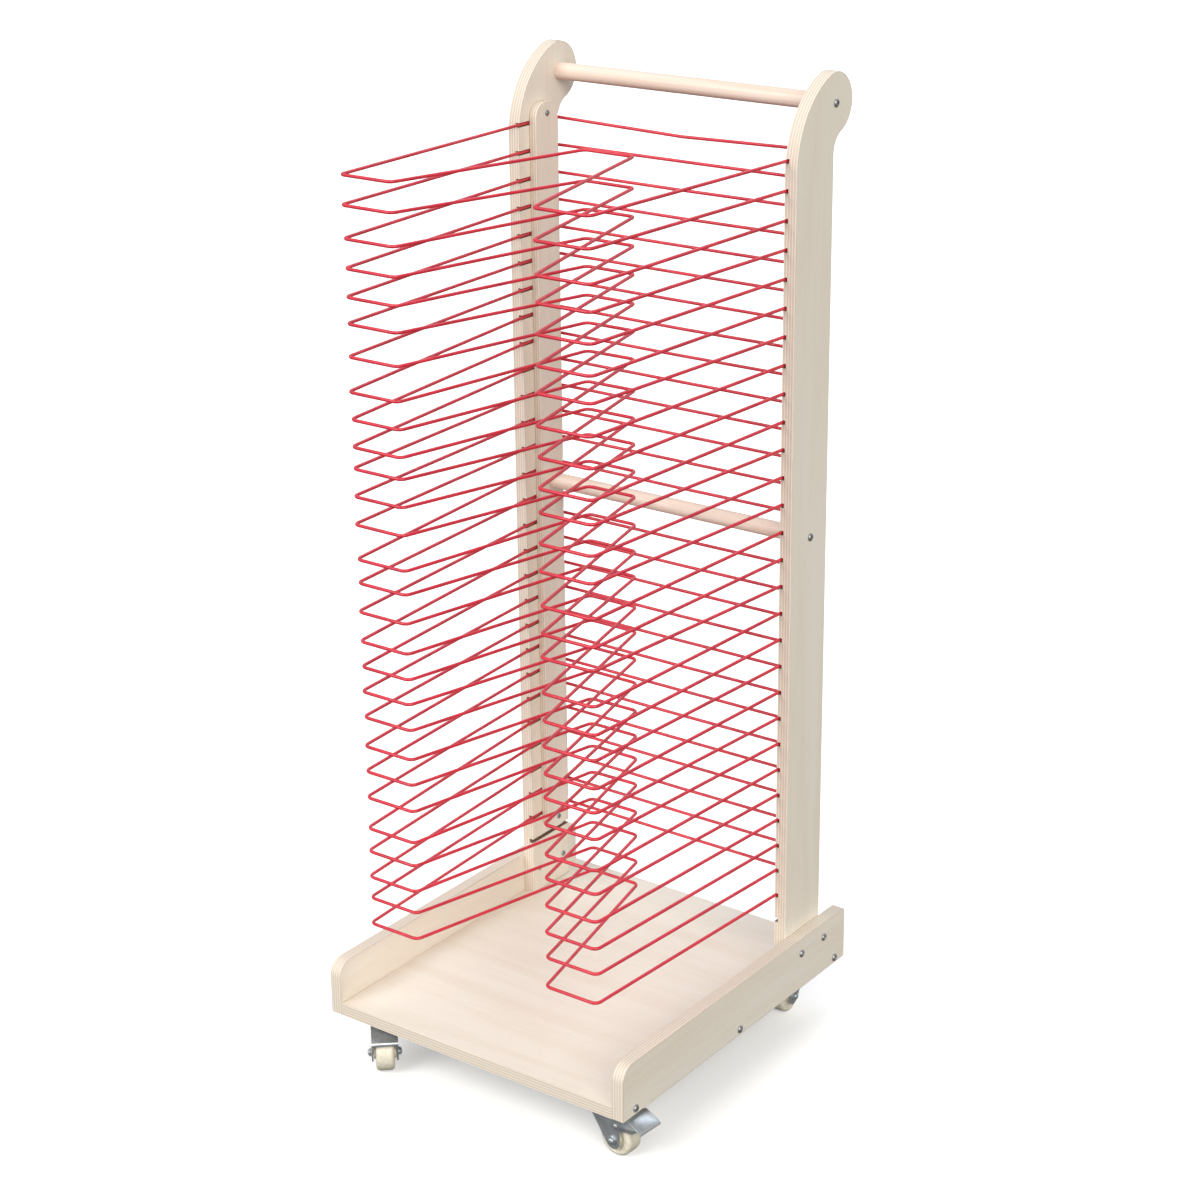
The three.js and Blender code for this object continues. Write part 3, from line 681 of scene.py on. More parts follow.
def grow(obj, tree, values):
    """Runs a tree on an object with its named inputs, and keeps the result as a plain mesh."""
    modifier = obj.modifiers.new(tree.name, "NODES")
    modifier.node_group = tree
    for item in tree.interface.items_tree:
        if item.item_type == "SOCKET" and item.in_out == "INPUT" and item.name in values:
            modifier[item.identifier] = values[item.name]
    return settle(obj)


def new_tree(name, inputs):
    """An empty tree with a geometry in and out, and named inputs for its sizes."""
    tree = bpy.data.node_groups.new(name, "GeometryNodeTree")
    tree.interface.new_socket("Geometry", in_out="INPUT", socket_type="NodeSocketGeometry")
    tree.interface.new_socket("Geometry", in_out="OUTPUT", socket_type="NodeSocketGeometry")
    for label, kind in inputs.items():
        tree.interface.new_socket(label, in_out="INPUT", socket_type="NodeSocket" + kind)
    return tree, add(tree, "NodeGroupInput").outputs


def close_tree(tree, geometry, material):
    """Ends a tree in plain, smooth geometry with its material."""
    real = add(tree, "GeometryNodeRealizeInstances", inputs={"Geometry": geometry})
    painted = add(tree, "GeometryNodeSetMaterial", inputs={"Geometry": real, "Material": material})
    add(tree, "NodeGroupOutput", inputs={0: painted})


# Share of the reach times this is 1 at the valley, where the back run's droop gives way to the valley's
VALLEY_GAIN = 4.5


def shelf_tree():
    """Bends one wire loop at its corners, stacks it shelf by shelf with its own droop at each prong's tip and
    gives it its round section."""
    tree, given = new_tree("Wire shelves", {
        "Shelves": "Int", "Corners": "Int", "Spacing": "Float", "Wire diameter": "Float", "Sides": "Int",
        "Bend steps": "Int", "Post front": "Float", "Reach": "Float", "Half gap": "Float", "Middle": "Float",
        "Sway": "Float", "Seed": "Int", "Material": "Material",
    })
    loop = add(tree, "GeometryNodeMeshToCurve", inputs={"Mesh": given["Geometry"]})
    bend = add(tree, "GeometryNodeInputNamedAttribute", {"data_type": "FLOAT"}, {"Name": "bend"})
    bent = add(tree, "GeometryNodeFilletCurve", {"mode": "POLY"},
               {"Curve": loop, "Count": given["Bend steps"], "Radius": bend, "Limit Radius": True})
    stack = add(tree, "GeometryNodeDuplicateElements", {"domain": "SPLINE"},
                {"Geometry": bent, "Amount": given["Shelves"]})
    level = stack.outputs["Duplicate Index"]
    place = add(tree, "ShaderNodeSeparateXYZ", inputs={0: add(tree, "GeometryNodeInputPosition")})
    # Share of the way from the post to the tip, none of it behind the post's front
    out = add(tree, "ShaderNodeMath", {"operation": "SUBTRACT"},
              {0: given["Post front"], 1: place.outputs[1]})
    out = add(tree, "ShaderNodeMath", {"operation": "DIVIDE", "use_clamp": True}, {0: out, 1: given["Reach"]})
    # Share of the way from the left prong to the right one, all of it between the prongs
    aside = add(tree, "ShaderNodeMath", {"operation": "SUBTRACT"}, {0: place.outputs[0], 1: given["Middle"]})
    aside = add(tree, "ShaderNodeMath", {"operation": "DIVIDE"}, {0: aside, 1: given["Half gap"]})
    across = add(tree, "ShaderNodeMapRange", inputs={"Value": aside, "From Min": -1.0, "From Max": 1.0})
    # The points after the loop's corners hold each shelf's droop
    row = add(tree, "ShaderNodeMath", {"operation": "ADD"}, {0: level, 1: given["Corners"]})
    tips = []
    for name in ("left_droop", "right_droop", "valley_droop", "back_droop"):
        droop = add(tree, "GeometryNodeInputNamedAttribute", {"data_type": "FLOAT"}, {"Name": name})
        tips.append(add(tree, "GeometryNodeSampleIndex", {"data_type": "FLOAT", "domain": "POINT"},
                        {"Geometry": given["Geometry"], "Value": droop, "Index": row}))
    fall = add(tree, "ShaderNodeMix", {"data_type": "FLOAT"}, {0: across, 2: tips[0], 3: tips[1]})
    fall = add(tree, "ShaderNodeMath", {"operation": "MULTIPLY"}, {0: fall, 1: out})
    # The bends between the prongs and the middle of the back run have their own droop
    inward = add(tree, "ShaderNodeMath", {"operation": "ABSOLUTE"}, {0: aside})
    inward = add(tree, "ShaderNodeMath", {"operation": "SUBTRACT", "use_clamp": True}, {0: 1.0, 1: inward})
    ahead = add(tree, "ShaderNodeMath", {"operation": "MULTIPLY", "use_clamp": True},
                {0: out, 1: VALLEY_GAIN})
    middle = add(tree, "ShaderNodeMix", {"data_type": "FLOAT"}, {0: ahead, 2: tips[3], 3: tips[2]})
    fall = add(tree, "ShaderNodeMath", {"operation": "MULTIPLY_ADD"}, {0: middle, 1: inward, 2: fall})
    down = add(tree, "ShaderNodeMath", {"operation": "MULTIPLY_ADD"},
               {0: level, 1: given["Spacing"], 2: fall})
    down = add(tree, "ShaderNodeMath", {"operation": "MULTIPLY"}, {0: down, 1: -1.0})
    chance = add(tree, "FunctionNodeRandomValue", {"data_type": "FLOAT"},
                 {2: -1.0, 3: 1.0, "ID": level, "Seed": given["Seed"]})
    swing = add(tree, "ShaderNodeMath", {"operation": "MULTIPLY"}, {0: chance.outputs[1], 1: given["Sway"]})
    swing = add(tree, "ShaderNodeMath", {"operation": "MULTIPLY"}, {0: swing, 1: out})
    move = add(tree, "ShaderNodeCombineXYZ", inputs={0: swing, 2: down})
    set_out = add(tree, "GeometryNodeSetPosition", inputs={"Geometry": stack, "Offset": move})
    radius = add(tree, "ShaderNodeMath", {"operation": "MULTIPLY"}, {0: given["Wire diameter"], 1: 0.5})
    section = add(tree, "GeometryNodeCurvePrimitiveCircle", {"mode": "RADIUS"},
                  {"Resolution": given["Sides"], "Radius": radius})
    wires = add(tree, "GeometryNodeCurveToMesh", inputs={"Curve": set_out, "Profile Curve": section})
    round_off = add(tree, "GeometryNodeSetShadeSmooth", inputs={"Geometry": wires})
    close_tree(tree, round_off.outputs[0], given["Material"])
    return tree


def fastener_tree():
    """Sets one head at every point, square to the surface there."""
    tree, given = new_tree("Fasteners", {"Head": "Object", "Material": "Material"})
    head = add(tree, "GeometryNodeObjectInfo", inputs={"Object": given["Head"]})
    axis = add(tree, "GeometryNodeInputNamedAttribute", {"data_type": "FLOAT_VECTOR"}, {"Name": "axis"})
    size = add(tree, "GeometryNodeInputNamedAttribute", {"data_type": "FLOAT"}, {"Name": "size"})
    spin = add(tree, "GeometryNodeInputNamedAttribute", {"data_type": "FLOAT"}, {"Name": "spin"})
    upright = add(tree, "FunctionNodeAlignRotationToVector", {"axis": "Z"}, {"Vector": axis})
    own = add(tree, "ShaderNodeCombineXYZ", inputs={2: spin})
    own = add(tree, "FunctionNodeEulerToRotation", inputs={0: own})
    facing = add(tree, "FunctionNodeRotateRotation", {"rotation_space": "LOCAL"}, {0: upright, 1: own})
    heads = add(tree, "GeometryNodeInstanceOnPoints",
                inputs={"Points": given["Geometry"], "Instance": head.outputs["Geometry"],
                        "Rotation": facing, "Scale": size})
    close_tree(tree, heads.outputs[0], given["Material"])
    return tree


# Boards

def post_outline():
    """Straight post whose front and back edges run into a round head by tangent arcs."""
    wood = bpy.context.scene.rack_wood
    front = POST_LOW.y
    back = front + wood.post_depth
    flare_z = SHELF_HEIGHTS[0] - wood.flare_drop
    rise = HANDLE.z - flare_z
    set_back = HANDLE.y - front
    flare = (set_back ** 2 + rise ** 2 - wood.head_radius ** 2) / (2 * (set_back - wood.head_radius))
    flare_angle = math.atan2(rise, set_back - flare)
    fillet_y = back + wood.head_fillet
    drop = math.sqrt((wood.head_radius + wood.head_fillet) ** 2 - (fillet_y - HANDLE.y) ** 2)
    fillet_angle = math.atan2(-drop, fillet_y - HANDLE.y)
    outline = [Vector((back, POST_LOW.z)), Vector((front, POST_LOW.z))]
    outline += arc((front + flare, flare_z), flare, math.pi, flare_angle, 24)
    outline += arc((HANDLE.y, HANDLE.z), wood.head_radius, flare_angle, fillet_angle, 48)[1:]
    outline += arc((fillet_y, HANDLE.z - drop), wood.head_fillet, fillet_angle + math.pi, math.pi, 16)[1:]
    return outline


def board(name, outline, axis, low, high, edge, grain, ply_edge, planes, *nodes):
    """A plywood board with eased edges, veneer on its faces and plies on its edges."""
    bm = bmesh.new()
    slab(bm, outline, axis, low, high)
    obj = ease(piece(name, bm, grain, ply_edge), edge)
    sort_faces(obj, axis, planes)
    return seat(obj, "frame", "birch_ply", *nodes)


class RACK_OT_boards(bpy.types.Operator):
    """Build the base board, side boards, posts and clamp strips"""
    bl_idname = "rack.boards"
    bl_label = "Plywood Boards"

    def execute(self, context):
        wood = context.scene.rack_wood
        outline = [(BOARD_LOW.x, BOARD_LOW.y), (BOARD_HIGH.x, BOARD_LOW.y),
                   (BOARD_HIGH.x, BOARD_HIGH.y), (BOARD_LOW.x, BOARD_HIGH.y)]
        board("tray_board", outline, "Z", BOARD_LOW.z, BOARD_HIGH.z, 0.5 * wood.edge, "birch_x", "base_edge",
              (BOARD_LOW.z, BOARD_HIGH.z), "base_board")
        for label in SIDES:
            low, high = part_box("side_board_" + label)
            outline = rounded(((low.y, low.z, 0), (high.y, low.z, 0), (high.y, high.z, wood.side_back),
                               (low.y, high.z, wood.side_front)))
            board("side_rail_" + label, outline, "X", low.x, high.x, wood.edge, "birch_y", "upright_edge",
                  (low.x, high.x), "side_board_" + label)
            low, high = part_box("clamp_strip_" + label)
            corner = wood.strip_corner
            outline = rounded(((low.y, low.z, corner), (high.y, low.z, corner), (high.y, high.z, corner),
                               (low.y, high.z, corner)))
            board("wire_clamp_" + label, outline, "X", low.x, high.x, wood.edge, "birch_z", "upright_edge",
                  (low.x, high.x), "clamp_strip_" + label)
            self.post(label, wood)
        return {"FINISHED"}

    def post(self, label, wood):
        """One upright with a groove for each wire across its inner face and a spare one below."""
        low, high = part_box("post_" + label)
        inner = low.x if label == "right" else high.x
        outward = SIDES[label]
        bm = bmesh.new()
        slab(bm, post_outline(), "X", low.x, high.x)
        # The third material is painted shade for the insides of the grooves
        obj = ease(piece("upright_" + label, bm, "birch_z", "upright_edge", "groove"), wood.edge)
        pitch = SHELF_HEIGHTS[0] - SHELF_HEIGHTS[1]
        bm = bmesh.new()
        for z in SHELF_HEIGHTS + [SHELF_HEIGHTS[-1] - pitch]:
            reach = sorted((inner - outward * MM, inner + outward * wood.groove))
            outline = ((reach[0], z - wood.groove / 2), (reach[1], z - wood.groove / 2),
                       (reach[1], z + wood.groove / 2), (reach[0], z + wood.groove / 2))
            slab(bm, outline, "Y", low.y - MM, low.y + wood.post_depth + MM)
        carve(obj, piece("groove_tool", bm))
        sort_faces(obj, "X", (low.x, high.x))
        # The walls and floors of the grooves lie along Y, inside the post, and take the painted groove shade
        shallow = 0.5 * MM
        deep = wood.groove + 0.1 * MM
        for polygon in obj.data.polygons:
            depth = (polygon.center.x - inner) * outward
            if abs(polygon.normal.y) < 0.1 and shallow < depth < deep:
                polygon.material_index = 2
        seat(obj, "frame", "birch_ply", "post_" + label)


class RACK_OT_dowels(bpy.types.Operator):
    """Turn the handle and the cross bar"""
    bl_idname = "rack.dowels"
    bl_label = "Beech Dowels"

    def execute(self, context):
        for name, node in (("handle_bar", "handle_dowel"), ("cross_bar", "cross_dowel")):
            low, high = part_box(node)
            radius = (high.z - low.z) / 2
            run = high.x - low.x
            chamfer = 0.4 * MM
            near_end = [(0, 0), (radius - chamfer, 0), (radius, chamfer)]
            far_end = [(radius, run - chamfer), (radius - chamfer, run), (0, run)]
            stretches = 12
            step = (run - 2 * chamfer) / stretches
            between = [(radius, chamfer + step * k) for k in range(1, stretches)]
            middle = middle_of(node)
            place = Matrix.Translation((low.x, middle.y, middle.z)) @ Matrix.Rotation(math.pi / 2, 4, "Y")
            bm = bmesh.new()
            turned(bm, near_end + between + far_end, 56, place)
            seat(smooth(piece(name, bm, "beech")), "frame", "beech", node)
        return {"FINISHED"}


class RACK_OT_shelves(bpy.types.Operator):
    """Bend the wire shelves"""
    bl_idname = "rack.shelves"
    bl_label = "Wire Shelves"

    def execute(self, context):
        wire = context.scene.rack_wire
        half_wire = wire.diameter / 2
        front = SHELF_LOW.y + half_wire
        back = SHELF_HIGH.y - half_wire
        outer = SHELF_HIGH.x - half_wire - MIDDLE
        half = [
            (wire.valley, POST_LOW.y - wire.valley_reach, wire.bend),
            (wire.inner, front, wire.bend),
            (wire.outer, front, wire.bend),
            (outer, POST_LOW.y + wire.lean_start, wire.lean_bend),
            (outer, back, wire.back_bend),
        ]
        corners = half + [(0, back, 0)] + [(-x, y, bend) for x, y, bend in reversed(half)]
        mesh = bpy.data.meshes.new("wire_shelves")
        count = len(corners)
        points = [(MIDDLE + x, y, SHELF_HEIGHTS[0]) for x, y, bend in corners]
        points += [(MIDDLE, front, z) for z in SHELF_HEIGHTS]
        mesh.from_pydata(points, [(i, (i + 1) % count) for i in range(count)], [])
        draw = random.Random(wire.seed)
        valley = wire.valley_scatter
        slight_bow = 0.25 * wire.bow
        droops = {
            "left_droop": [droop * MM for droop in LEFT_DROOP],
            "right_droop": [draw.uniform(-wire.scatter, wire.scatter) for z in SHELF_HEIGHTS],
            "valley_droop": [draw.uniform(-valley, valley) for z in SHELF_HEIGHTS],
            "back_droop": [wire.bow] + [draw.uniform(0, slight_bow) for z in SHELF_HEIGHTS[1:]],
        }
        rows = {"bend": [bend for x, y, bend in corners] + [0.0] * len(SHELF_HEIGHTS)}
        rows.update({name: [0.0] * count + values for name, values in droops.items()})
        for name, values in rows.items():
            mesh.attributes.new(name, "FLOAT", "POINT").data.foreach_set("value", values)
        mesh.materials.append(finish_of("red"))
        obj = bpy.data.objects.new("wire_shelves", mesh)
        context.scene.collection.objects.link(obj)
        spacing = (SHELF_HEIGHTS[0] - SHELF_HEIGHTS[-1]) / (len(SHELF_HEIGHTS) - 1)
        grow(obj, shelf_tree(), {
            "Shelves": len(SHELF_HEIGHTS), "Corners": count, "Spacing": spacing,
            "Wire diameter": wire.diameter, "Sides": wire.sides, "Bend steps": wire.bend_steps,
            "Post front": POST_LOW.y, "Reach": POST_LOW.y - front, "Half gap": wire.inner,
            "Middle": MIDDLE, "Sway": wire.sway, "Seed": wire.seed, "Material": finish_of("red"),
        })
        seat(obj, "frame", "red_wire", *SHELVES)
        return {"FINISHED"}


# Casters

class Caster:
    """Levels and planes that one caster's pieces share, in its own frame: the swivel axis is Z and the
    wheel trails along X."""

    def __init__(self, label):
        sizes = bpy.context.scene.rack_caster
        self.label = label
        self.sizes = sizes
        pin = middle_of(f"caster_{label}_kingpin")
        hub = middle_of(f"caster_{label}_wheel")
        self.trail = math.hypot(hub.x - pin.x, hub.y - pin.y)
        heading = math.atan2(hub.y - pin.y, hub.x - pin.x)
        self.fixed = Matrix.Translation((pin.x, pin.y, 0))
        self.place = self.fixed @ Matrix.Rotation(heading, 4, "Z")
        self.axle_z = sizes.wheel / 2
        self.top = BOARD_LOW.z
        self.plate_bottom = self.top - sizes.plate_thick
        self.cup_bottom = self.plate_bottom - sizes.cup_depth
        self.crown_top = self.cup_bottom - sizes.slack
        self.cheek_in = sizes.width / 2 + sizes.gap
        self.cheek_out = self.cheek_in + sizes.sheet
        self.hood_end = self.trail + sizes.hood
        self.hood_end_top = self.crown_top - sizes.hood_drop
        self.hood_lip = self.hood_end_top - sizes.hood_lip
        # Places whose Z runs along the axle and along the brake's pivot
        across = Matrix.Rotation(-math.pi / 2, 4, "X")
        self.axle_place = Matrix.Translation((self.trail, 0, self.axle_z)) @ across
        pivot = (self.trail + sizes.pivot_past, 0, sizes.pivot_height)
        self.pivot_place = Matrix.Translation(pivot) @ across

    def name(self, part):
        """Name of a piece or body of this caster."""
        return f"{self.label}_{part}"

    def node(self, part):
        """Name of a CAD node of this caster."""
        return f"caster_{self.label}_{part}"

    def install(self, obj, place, body, slot, part):
        """Moves a piece's mesh from the caster's own frame to its place, and hands it to the frame."""
        obj.data.transform(place)
        return seat(obj, body, slot, self.node(part))

    def plate(self):
        """Square plate with a pressed cup for the swivel."""
        s = self.sizes
        half = s.plate / 2
        bm = bmesh.new()
        corners = [(x, y, s.plate_corner) for x, y in
                   ((-half, -half), (half, -half), (half, half), (-half, half))]
        slab(bm, rounded(corners, 6), "Z", self.plate_bottom, self.top)
        obj = piece(self.name("plate"), bm, "zinc")
        bm = bmesh.new()
        wall = s.cup - s.sheet
        mouth = self.plate_bottom + s.sheet
        turned(bm, [(0, mouth), (wall, mouth), (wall, self.top + MM), (0, self.top + MM)], 48)
        carve(obj, piece("cup_tool", bm))
        ease(obj, 0.4 * MM)
        bm = bmesh.new()
        bm.from_mesh(obj.data)
        floor = self.cup_bottom + s.sheet
        bore = s.kingpin / 2 + s.slack
        lip = self.plate_bottom + 0.4 * s.plate_thick
        bend = 1.2 * MM
        rim = arc((s.cup - bend, self.cup_bottom + bend), bend, -math.pi / 2, 0, 5)
        profile = [(bore, self.cup_bottom)] + [tuple(point) for point in rim]
        profile += [(s.cup, lip), (wall, lip), (wall, floor), (bore, floor)]
        turned(bm, profile, 48)
        bm.to_mesh(obj.data)
        bm.free()
        self.install(smooth(obj), self.fixed, "frame", "zinc_steel", "plate")

    def kingpin(self):
        """Rivet through the plate's cup and the fork's crown."""
        s = self.sizes
        foot = self.crown_top - s.sheet - s.slack
        top = self.cup_bottom + s.sheet + s.slack
        head = s.kingpin_head / 2
        shank = s.kingpin / 2
        thick = 2 * MM
        rim = 0.3 * MM
        chamfer = 0.6 * MM
        dome = [(head * math.sin(t), foot - rim - (thick - rim) * math.cos(t))
                for t in (0.3, 0.6, 0.9, 1.2, math.pi / 2)]
        profile = [(0, foot - thick), *dome, (head, foot), (shank, foot), (shank, top), (head, top),
                   (head, top + thick - chamfer), (head - chamfer, top + thick), (0, top + thick)]
        bm = bmesh.new()
        turned(bm, profile, 32)
        obj = smooth(piece(self.name("kingpin"), bm, "zinc"))
        self.install(obj, self.fixed, "frame", "zinc_steel", "kingpin")

    def fork(self):
        """Pressed fork: crown, sloped hood over the wheel and two cheeks with a round axle boss."""
        s = self.sizes
        edge = self.crown_top - s.lead_edge
        reach = math.hypot(self.trail + s.lead, edge - self.axle_z)
        towards = math.atan2(edge - self.axle_z, -s.lead - self.trail) + math.acos(s.boss / reach)
        touch = Vector((self.trail + s.boss * math.cos(towards), self.axle_z + s.boss * math.sin(towards)))
        slope = (touch.y - edge) / (touch.x + s.lead)
        boss_x = self.trail + s.boss
        crown_bend = 9 * MM
        lip_bend = 1.2 * MM
        corners = (
            (-s.lead, self.crown_top, 1.5 * MM),
            (s.crown, self.crown_top, crown_bend),
            (self.hood_end, self.hood_end_top, 4 * MM),
            (self.hood_end, self.hood_lip, lip_bend),
            (boss_x + 1.5 * MM, self.hood_lip, 3 * MM),
            (boss_x, touch.y + slope * (boss_x - touch.x), s.boss),
            (-s.lead, edge, 1.0 * MM),
        )
        bm = bmesh.new()
        slab(bm, rounded(corners, 10), "Y", -self.cheek_out, self.cheek_out)
        bm.normal_update()
        rims = [e for e in bm.edges if self.is_hood_rim(e)]
        bmesh.ops.bevel(bm, geom=rims, offset=2.4 * MM, segments=4, profile=0.5, affect="EDGES",
                        clamp_overlap=True)
        obj = piece(self.name("fork"), bm, "zinc")
        ahead = -s.lead - MM
        behind = self.hood_end - s.sheet
        hollow = (
            (ahead, self.crown_top - s.sheet, 0),
            (ahead, -MM, 0),
            (behind, -MM, 0),
            (behind, self.hood_end_top - s.sheet, lip_bend),
            (s.crown, self.crown_top - s.sheet, crown_bend),
        )
        bm = bmesh.new()
        slab(bm, rounded(hollow, 8), "Y", -self.cheek_in, self.cheek_in)
        tools = [piece("hollow_tool", bm)]
        across = 2 * self.cheek_out
        crown = Matrix.Translation((0, 0, self.crown_top))
        for place, diameter, run in ((self.axle_place, s.axle, across), (self.pivot_place, s.pivot, across),
                                     (crown, s.kingpin, 2 * s.sheet)):
            bore = diameter / 2 + s.slack
            bm = bmesh.new()
            turned(bm, [(0, -run), (bore, -run), (bore, run), (0, run)], 32, place)
            tools.append(piece("bore_tool", bm))
        carve(obj, *tools)
        ease(obj, 0.35 * MM, 2, 50)
        self.install(obj, self.place, self.name("swivel_body"), "zinc_steel", "fork")

    def is_hood_rim(self, edge):
        """Whether an edge lies between the hood's top and a cheek."""
        ends = [v.co for v in edge.verts]
        near = 0.1 * MM
        edge_z = self.crown_top - self.sizes.lead_edge
        level = all(abs(abs(p.y) - self.cheek_out) < 1e-6 for p in ends)
        same = ends[0].y * ends[1].y > 0
        high = all(p.z > self.hood_lip - near for p in ends)
        lead = all(p.x < -self.sizes.lead + near for p in ends)
        under = all(p.z < edge_z + near and p.x < self.trail for p in ends)
        return level and same and high and not lead and not under

    def axle(self):
        """Axle with a washer and a cap nut at each end."""
        s = self.sizes
        seat_at = self.cheek_out + s.slack
        radius = s.axle / 2
        nut = s.nut / 2
        flats = hexagon(s.nut)
        chamfer = 0.5 * (nut + nut / math.cos(math.pi / 6))
        washer = 0.8 * MM
        top = 2.9 * MM
        dome = 0.86 * nut
        dome_steps = 6
        rings = [ring(washer, flats, 36), ring(top - 0.5 * MM, flats, 36),
                 ring(top, lambda t: min(flats(t), chamfer), 36)]
        for k in range(dome_steps):
            t = k / dome_steps * math.pi / 2
            rings.append(ring(top + (s.nut_height - top) * math.sin(t), dome * math.cos(t), 36))
        bm = bmesh.new()
        turned(bm, [(0, -seat_at), (radius, -seat_at), (radius, seat_at), (0, seat_at)], 32, self.axle_place)
        for turn in (0, math.pi):
            place = self.axle_place @ Matrix.Rotation(turn, 4, "X") @ Matrix.Translation((0, 0, seat_at))
            turned(bm, [(0, 0), (1.25 * nut, 0), (1.25 * nut, washer - 0.2 * MM), (1.2 * nut, washer),
                        (0, washer)], 40, place)
            lofted(bm, rings, place)
        obj = smooth(piece(self.name("axle"), bm, "zinc"), 32)
        self.install(obj, self.place, self.name("swivel_body"), "zinc_steel", "axle")

    def wheel(self):
        """Moulded wheel with a rounded tread, a ringed recess in each face and a hub boss."""
        s = self.sizes
        tread = s.wheel / 2
        rim = s.width / 2
        bore = s.axle / 2 + s.slack
        boss = s.hub / 2
        hub = self.cheek_in - s.slack
        shoulder = 5 * MM
        half = [(bore, hub), (boss - 0.8 * MM, hub), (boss - 0.2 * MM, hub - 0.3 * MM),
                (boss, hub - 0.9 * MM)]
        # Rings moulded in the face, as shares of the way from the hub to the tread and depths in mm
        for share, depth in ((0.02, 1.6), (0.08, 2.2), (0.46, 2.2), (0.53, 1.6), (0.58, 0.9), (0.67, 0.9),
                             (0.72, 1.5), (0.78, 1.5), (0.83, 0.3), (0.89, 0.0)):
            half.append((boss + share * (tread - shoulder - boss), rim - depth * MM))
        corner = arc((tread - shoulder, rim - shoulder), shoulder, math.pi / 2, 0.06, 8)
        half += [tuple(point) for point in corner]
        half.append((tread, 0.35 * rim))
        mirrored = [(radius, -side) for radius, side in half]
        bm = bmesh.new()
        turned(bm, mirrored + half[::-1], 72, self.axle_place)
        obj = smooth(piece(self.name("wheel"), bm, "nylon"), 55)
        self.install(obj, self.place, self.name("roller_body"), "caster_wheel", "wheel")

    def brake(self):
        """Folded pedal on stub pivots, with a rivet head at each side."""
        s = self.sizes
        bm = bmesh.new()
        bm.from_mesh(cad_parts[self.node("brake")].data)
        bmesh.ops.remove_doubles(bm, verts=bm.verts, dist=1e-6)
        bmesh.ops.dissolve_limit(bm, angle_limit=math.radians(1), verts=bm.verts, edges=bm.edges)
        obj = ease(piece(self.name("brake"), bm, "zinc"), 0.5 * MM, 2, 30)
        bm = bmesh.new()
        bm.from_mesh(obj.data)
        outer = self.cheek_out + s.slack + s.sheet
        rim = 0.2 * MM
        dome = 1.3 * MM
        head = 0.8 * s.pivot
        profile = [(0, 0), (head, 0)]
        profile += [(head * math.cos(t), rim + dome * math.sin(t)) for t in (0, 0.3, 0.6, 0.9, 1.2)]
        profile.append((0, rim + dome))
        for turn in (0, math.pi):
            place = (self.place @ self.pivot_place @ Matrix.Rotation(turn, 4, "X")
                     @ Matrix.Translation((0, 0, outer)))
            turned(bm, profile, 28, place)
        bm.to_mesh(obj.data)
        bm.free()
        seat(obj, self.name("pedal_body"), "zinc_steel", self.node("brake"))


class RACK_OT_casters(bpy.types.Operator):
    """Press and turn the swivel casters"""
    bl_idname = "rack.casters"
    bl_label = "Casters"

    def execute(self, context):
        for label in CASTERS:
            caster = Caster(label)
            caster.plate()
            caster.kingpin()
            caster.fork()
            caster.axle()
            caster.wheel()
            if caster.node("brake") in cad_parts:
                caster.brake()
        return {"FINISHED"}


# Fasteners

def bolt_head():
    """Button head with a hexagon socket, on Z."""
    sizes = bpy.context.scene.rack_fastener
    radius = sizes.bolt / 2
    rise = sizes.bolt_height
    rim = 0.5 * MM
    socket = hexagon(sizes.key)
    rings = [ring(0, radius), ring(rim, radius)]
    for share in (0.35, 0.7):
        t = share * math.pi / 2
        rings.append(ring(rim + (rise - rim) * math.sin(t), radius * (0.42 + 0.58 * math.cos(t))))
    rings += [ring(rise, 0.62 * radius), ring(rise, hexagon(1.12 * sizes.key)), ring(rise - 0.3 * MM, socket),
              ring(rise - 2.1 * MM, socket)]
    bm = bmesh.new()
    lofted(bm, rings)
    return smooth(piece("bolt_head", bm), 35)


def screw_head():
    """Pan head with a cross recess, on Z."""
    sizes = bpy.context.scene.rack_fastener
    radius = sizes.screw / 2
    rise = sizes.screw_height
    # The rim, the rounded shoulder, then the recess from its mouth to its floor
    rings = [ring(0, radius), ring(0.4 * rise, radius)]
    rings += [ring(0.72 * rise, 0.93 * radius), ring(0.93 * rise, 0.8 * radius), ring(rise, 0.62 * radius)]
    rings += [ring(rise, cross_slot(0.52 * radius)), ring(0.4 * rise, cross_slot(0.4 * radius))]
    bm = bmesh.new()
    lofted(bm, rings)
    return smooth(piece("screw_head", bm), 35)


def fasten(name, places, head, tree):
    """Sets heads at places (point, outward axis, size)."""
    mesh = bpy.data.meshes.new(name)
    mesh.from_pydata([point for point, axis, size in places], [], [])
    axes = [c for point, axis, size in places for c in axis]
    sizes = [size for point, axis, size in places]
    # Each head stands turned on by this much from the last, in radians
    spins = [0.7 * k for k in range(len(places))]
    mesh.attributes.new("axis", "FLOAT_VECTOR", "POINT").data.foreach_set("vector", axes)
    mesh.attributes.new("size", "FLOAT", "POINT").data.foreach_set("value", sizes)
    mesh.attributes.new("spin", "FLOAT", "POINT").data.foreach_set("value", spins)
    mesh.materials.append(finish_of("bolt"))
    obj = bpy.data.objects.new(name, mesh)
    bpy.context.scene.collection.objects.link(obj)
    grow(obj, tree, {"Head": head, "Material": finish_of("bolt")})
    bpy.data.objects.remove(head)
    seat(obj, "frame", "zinc_steel")


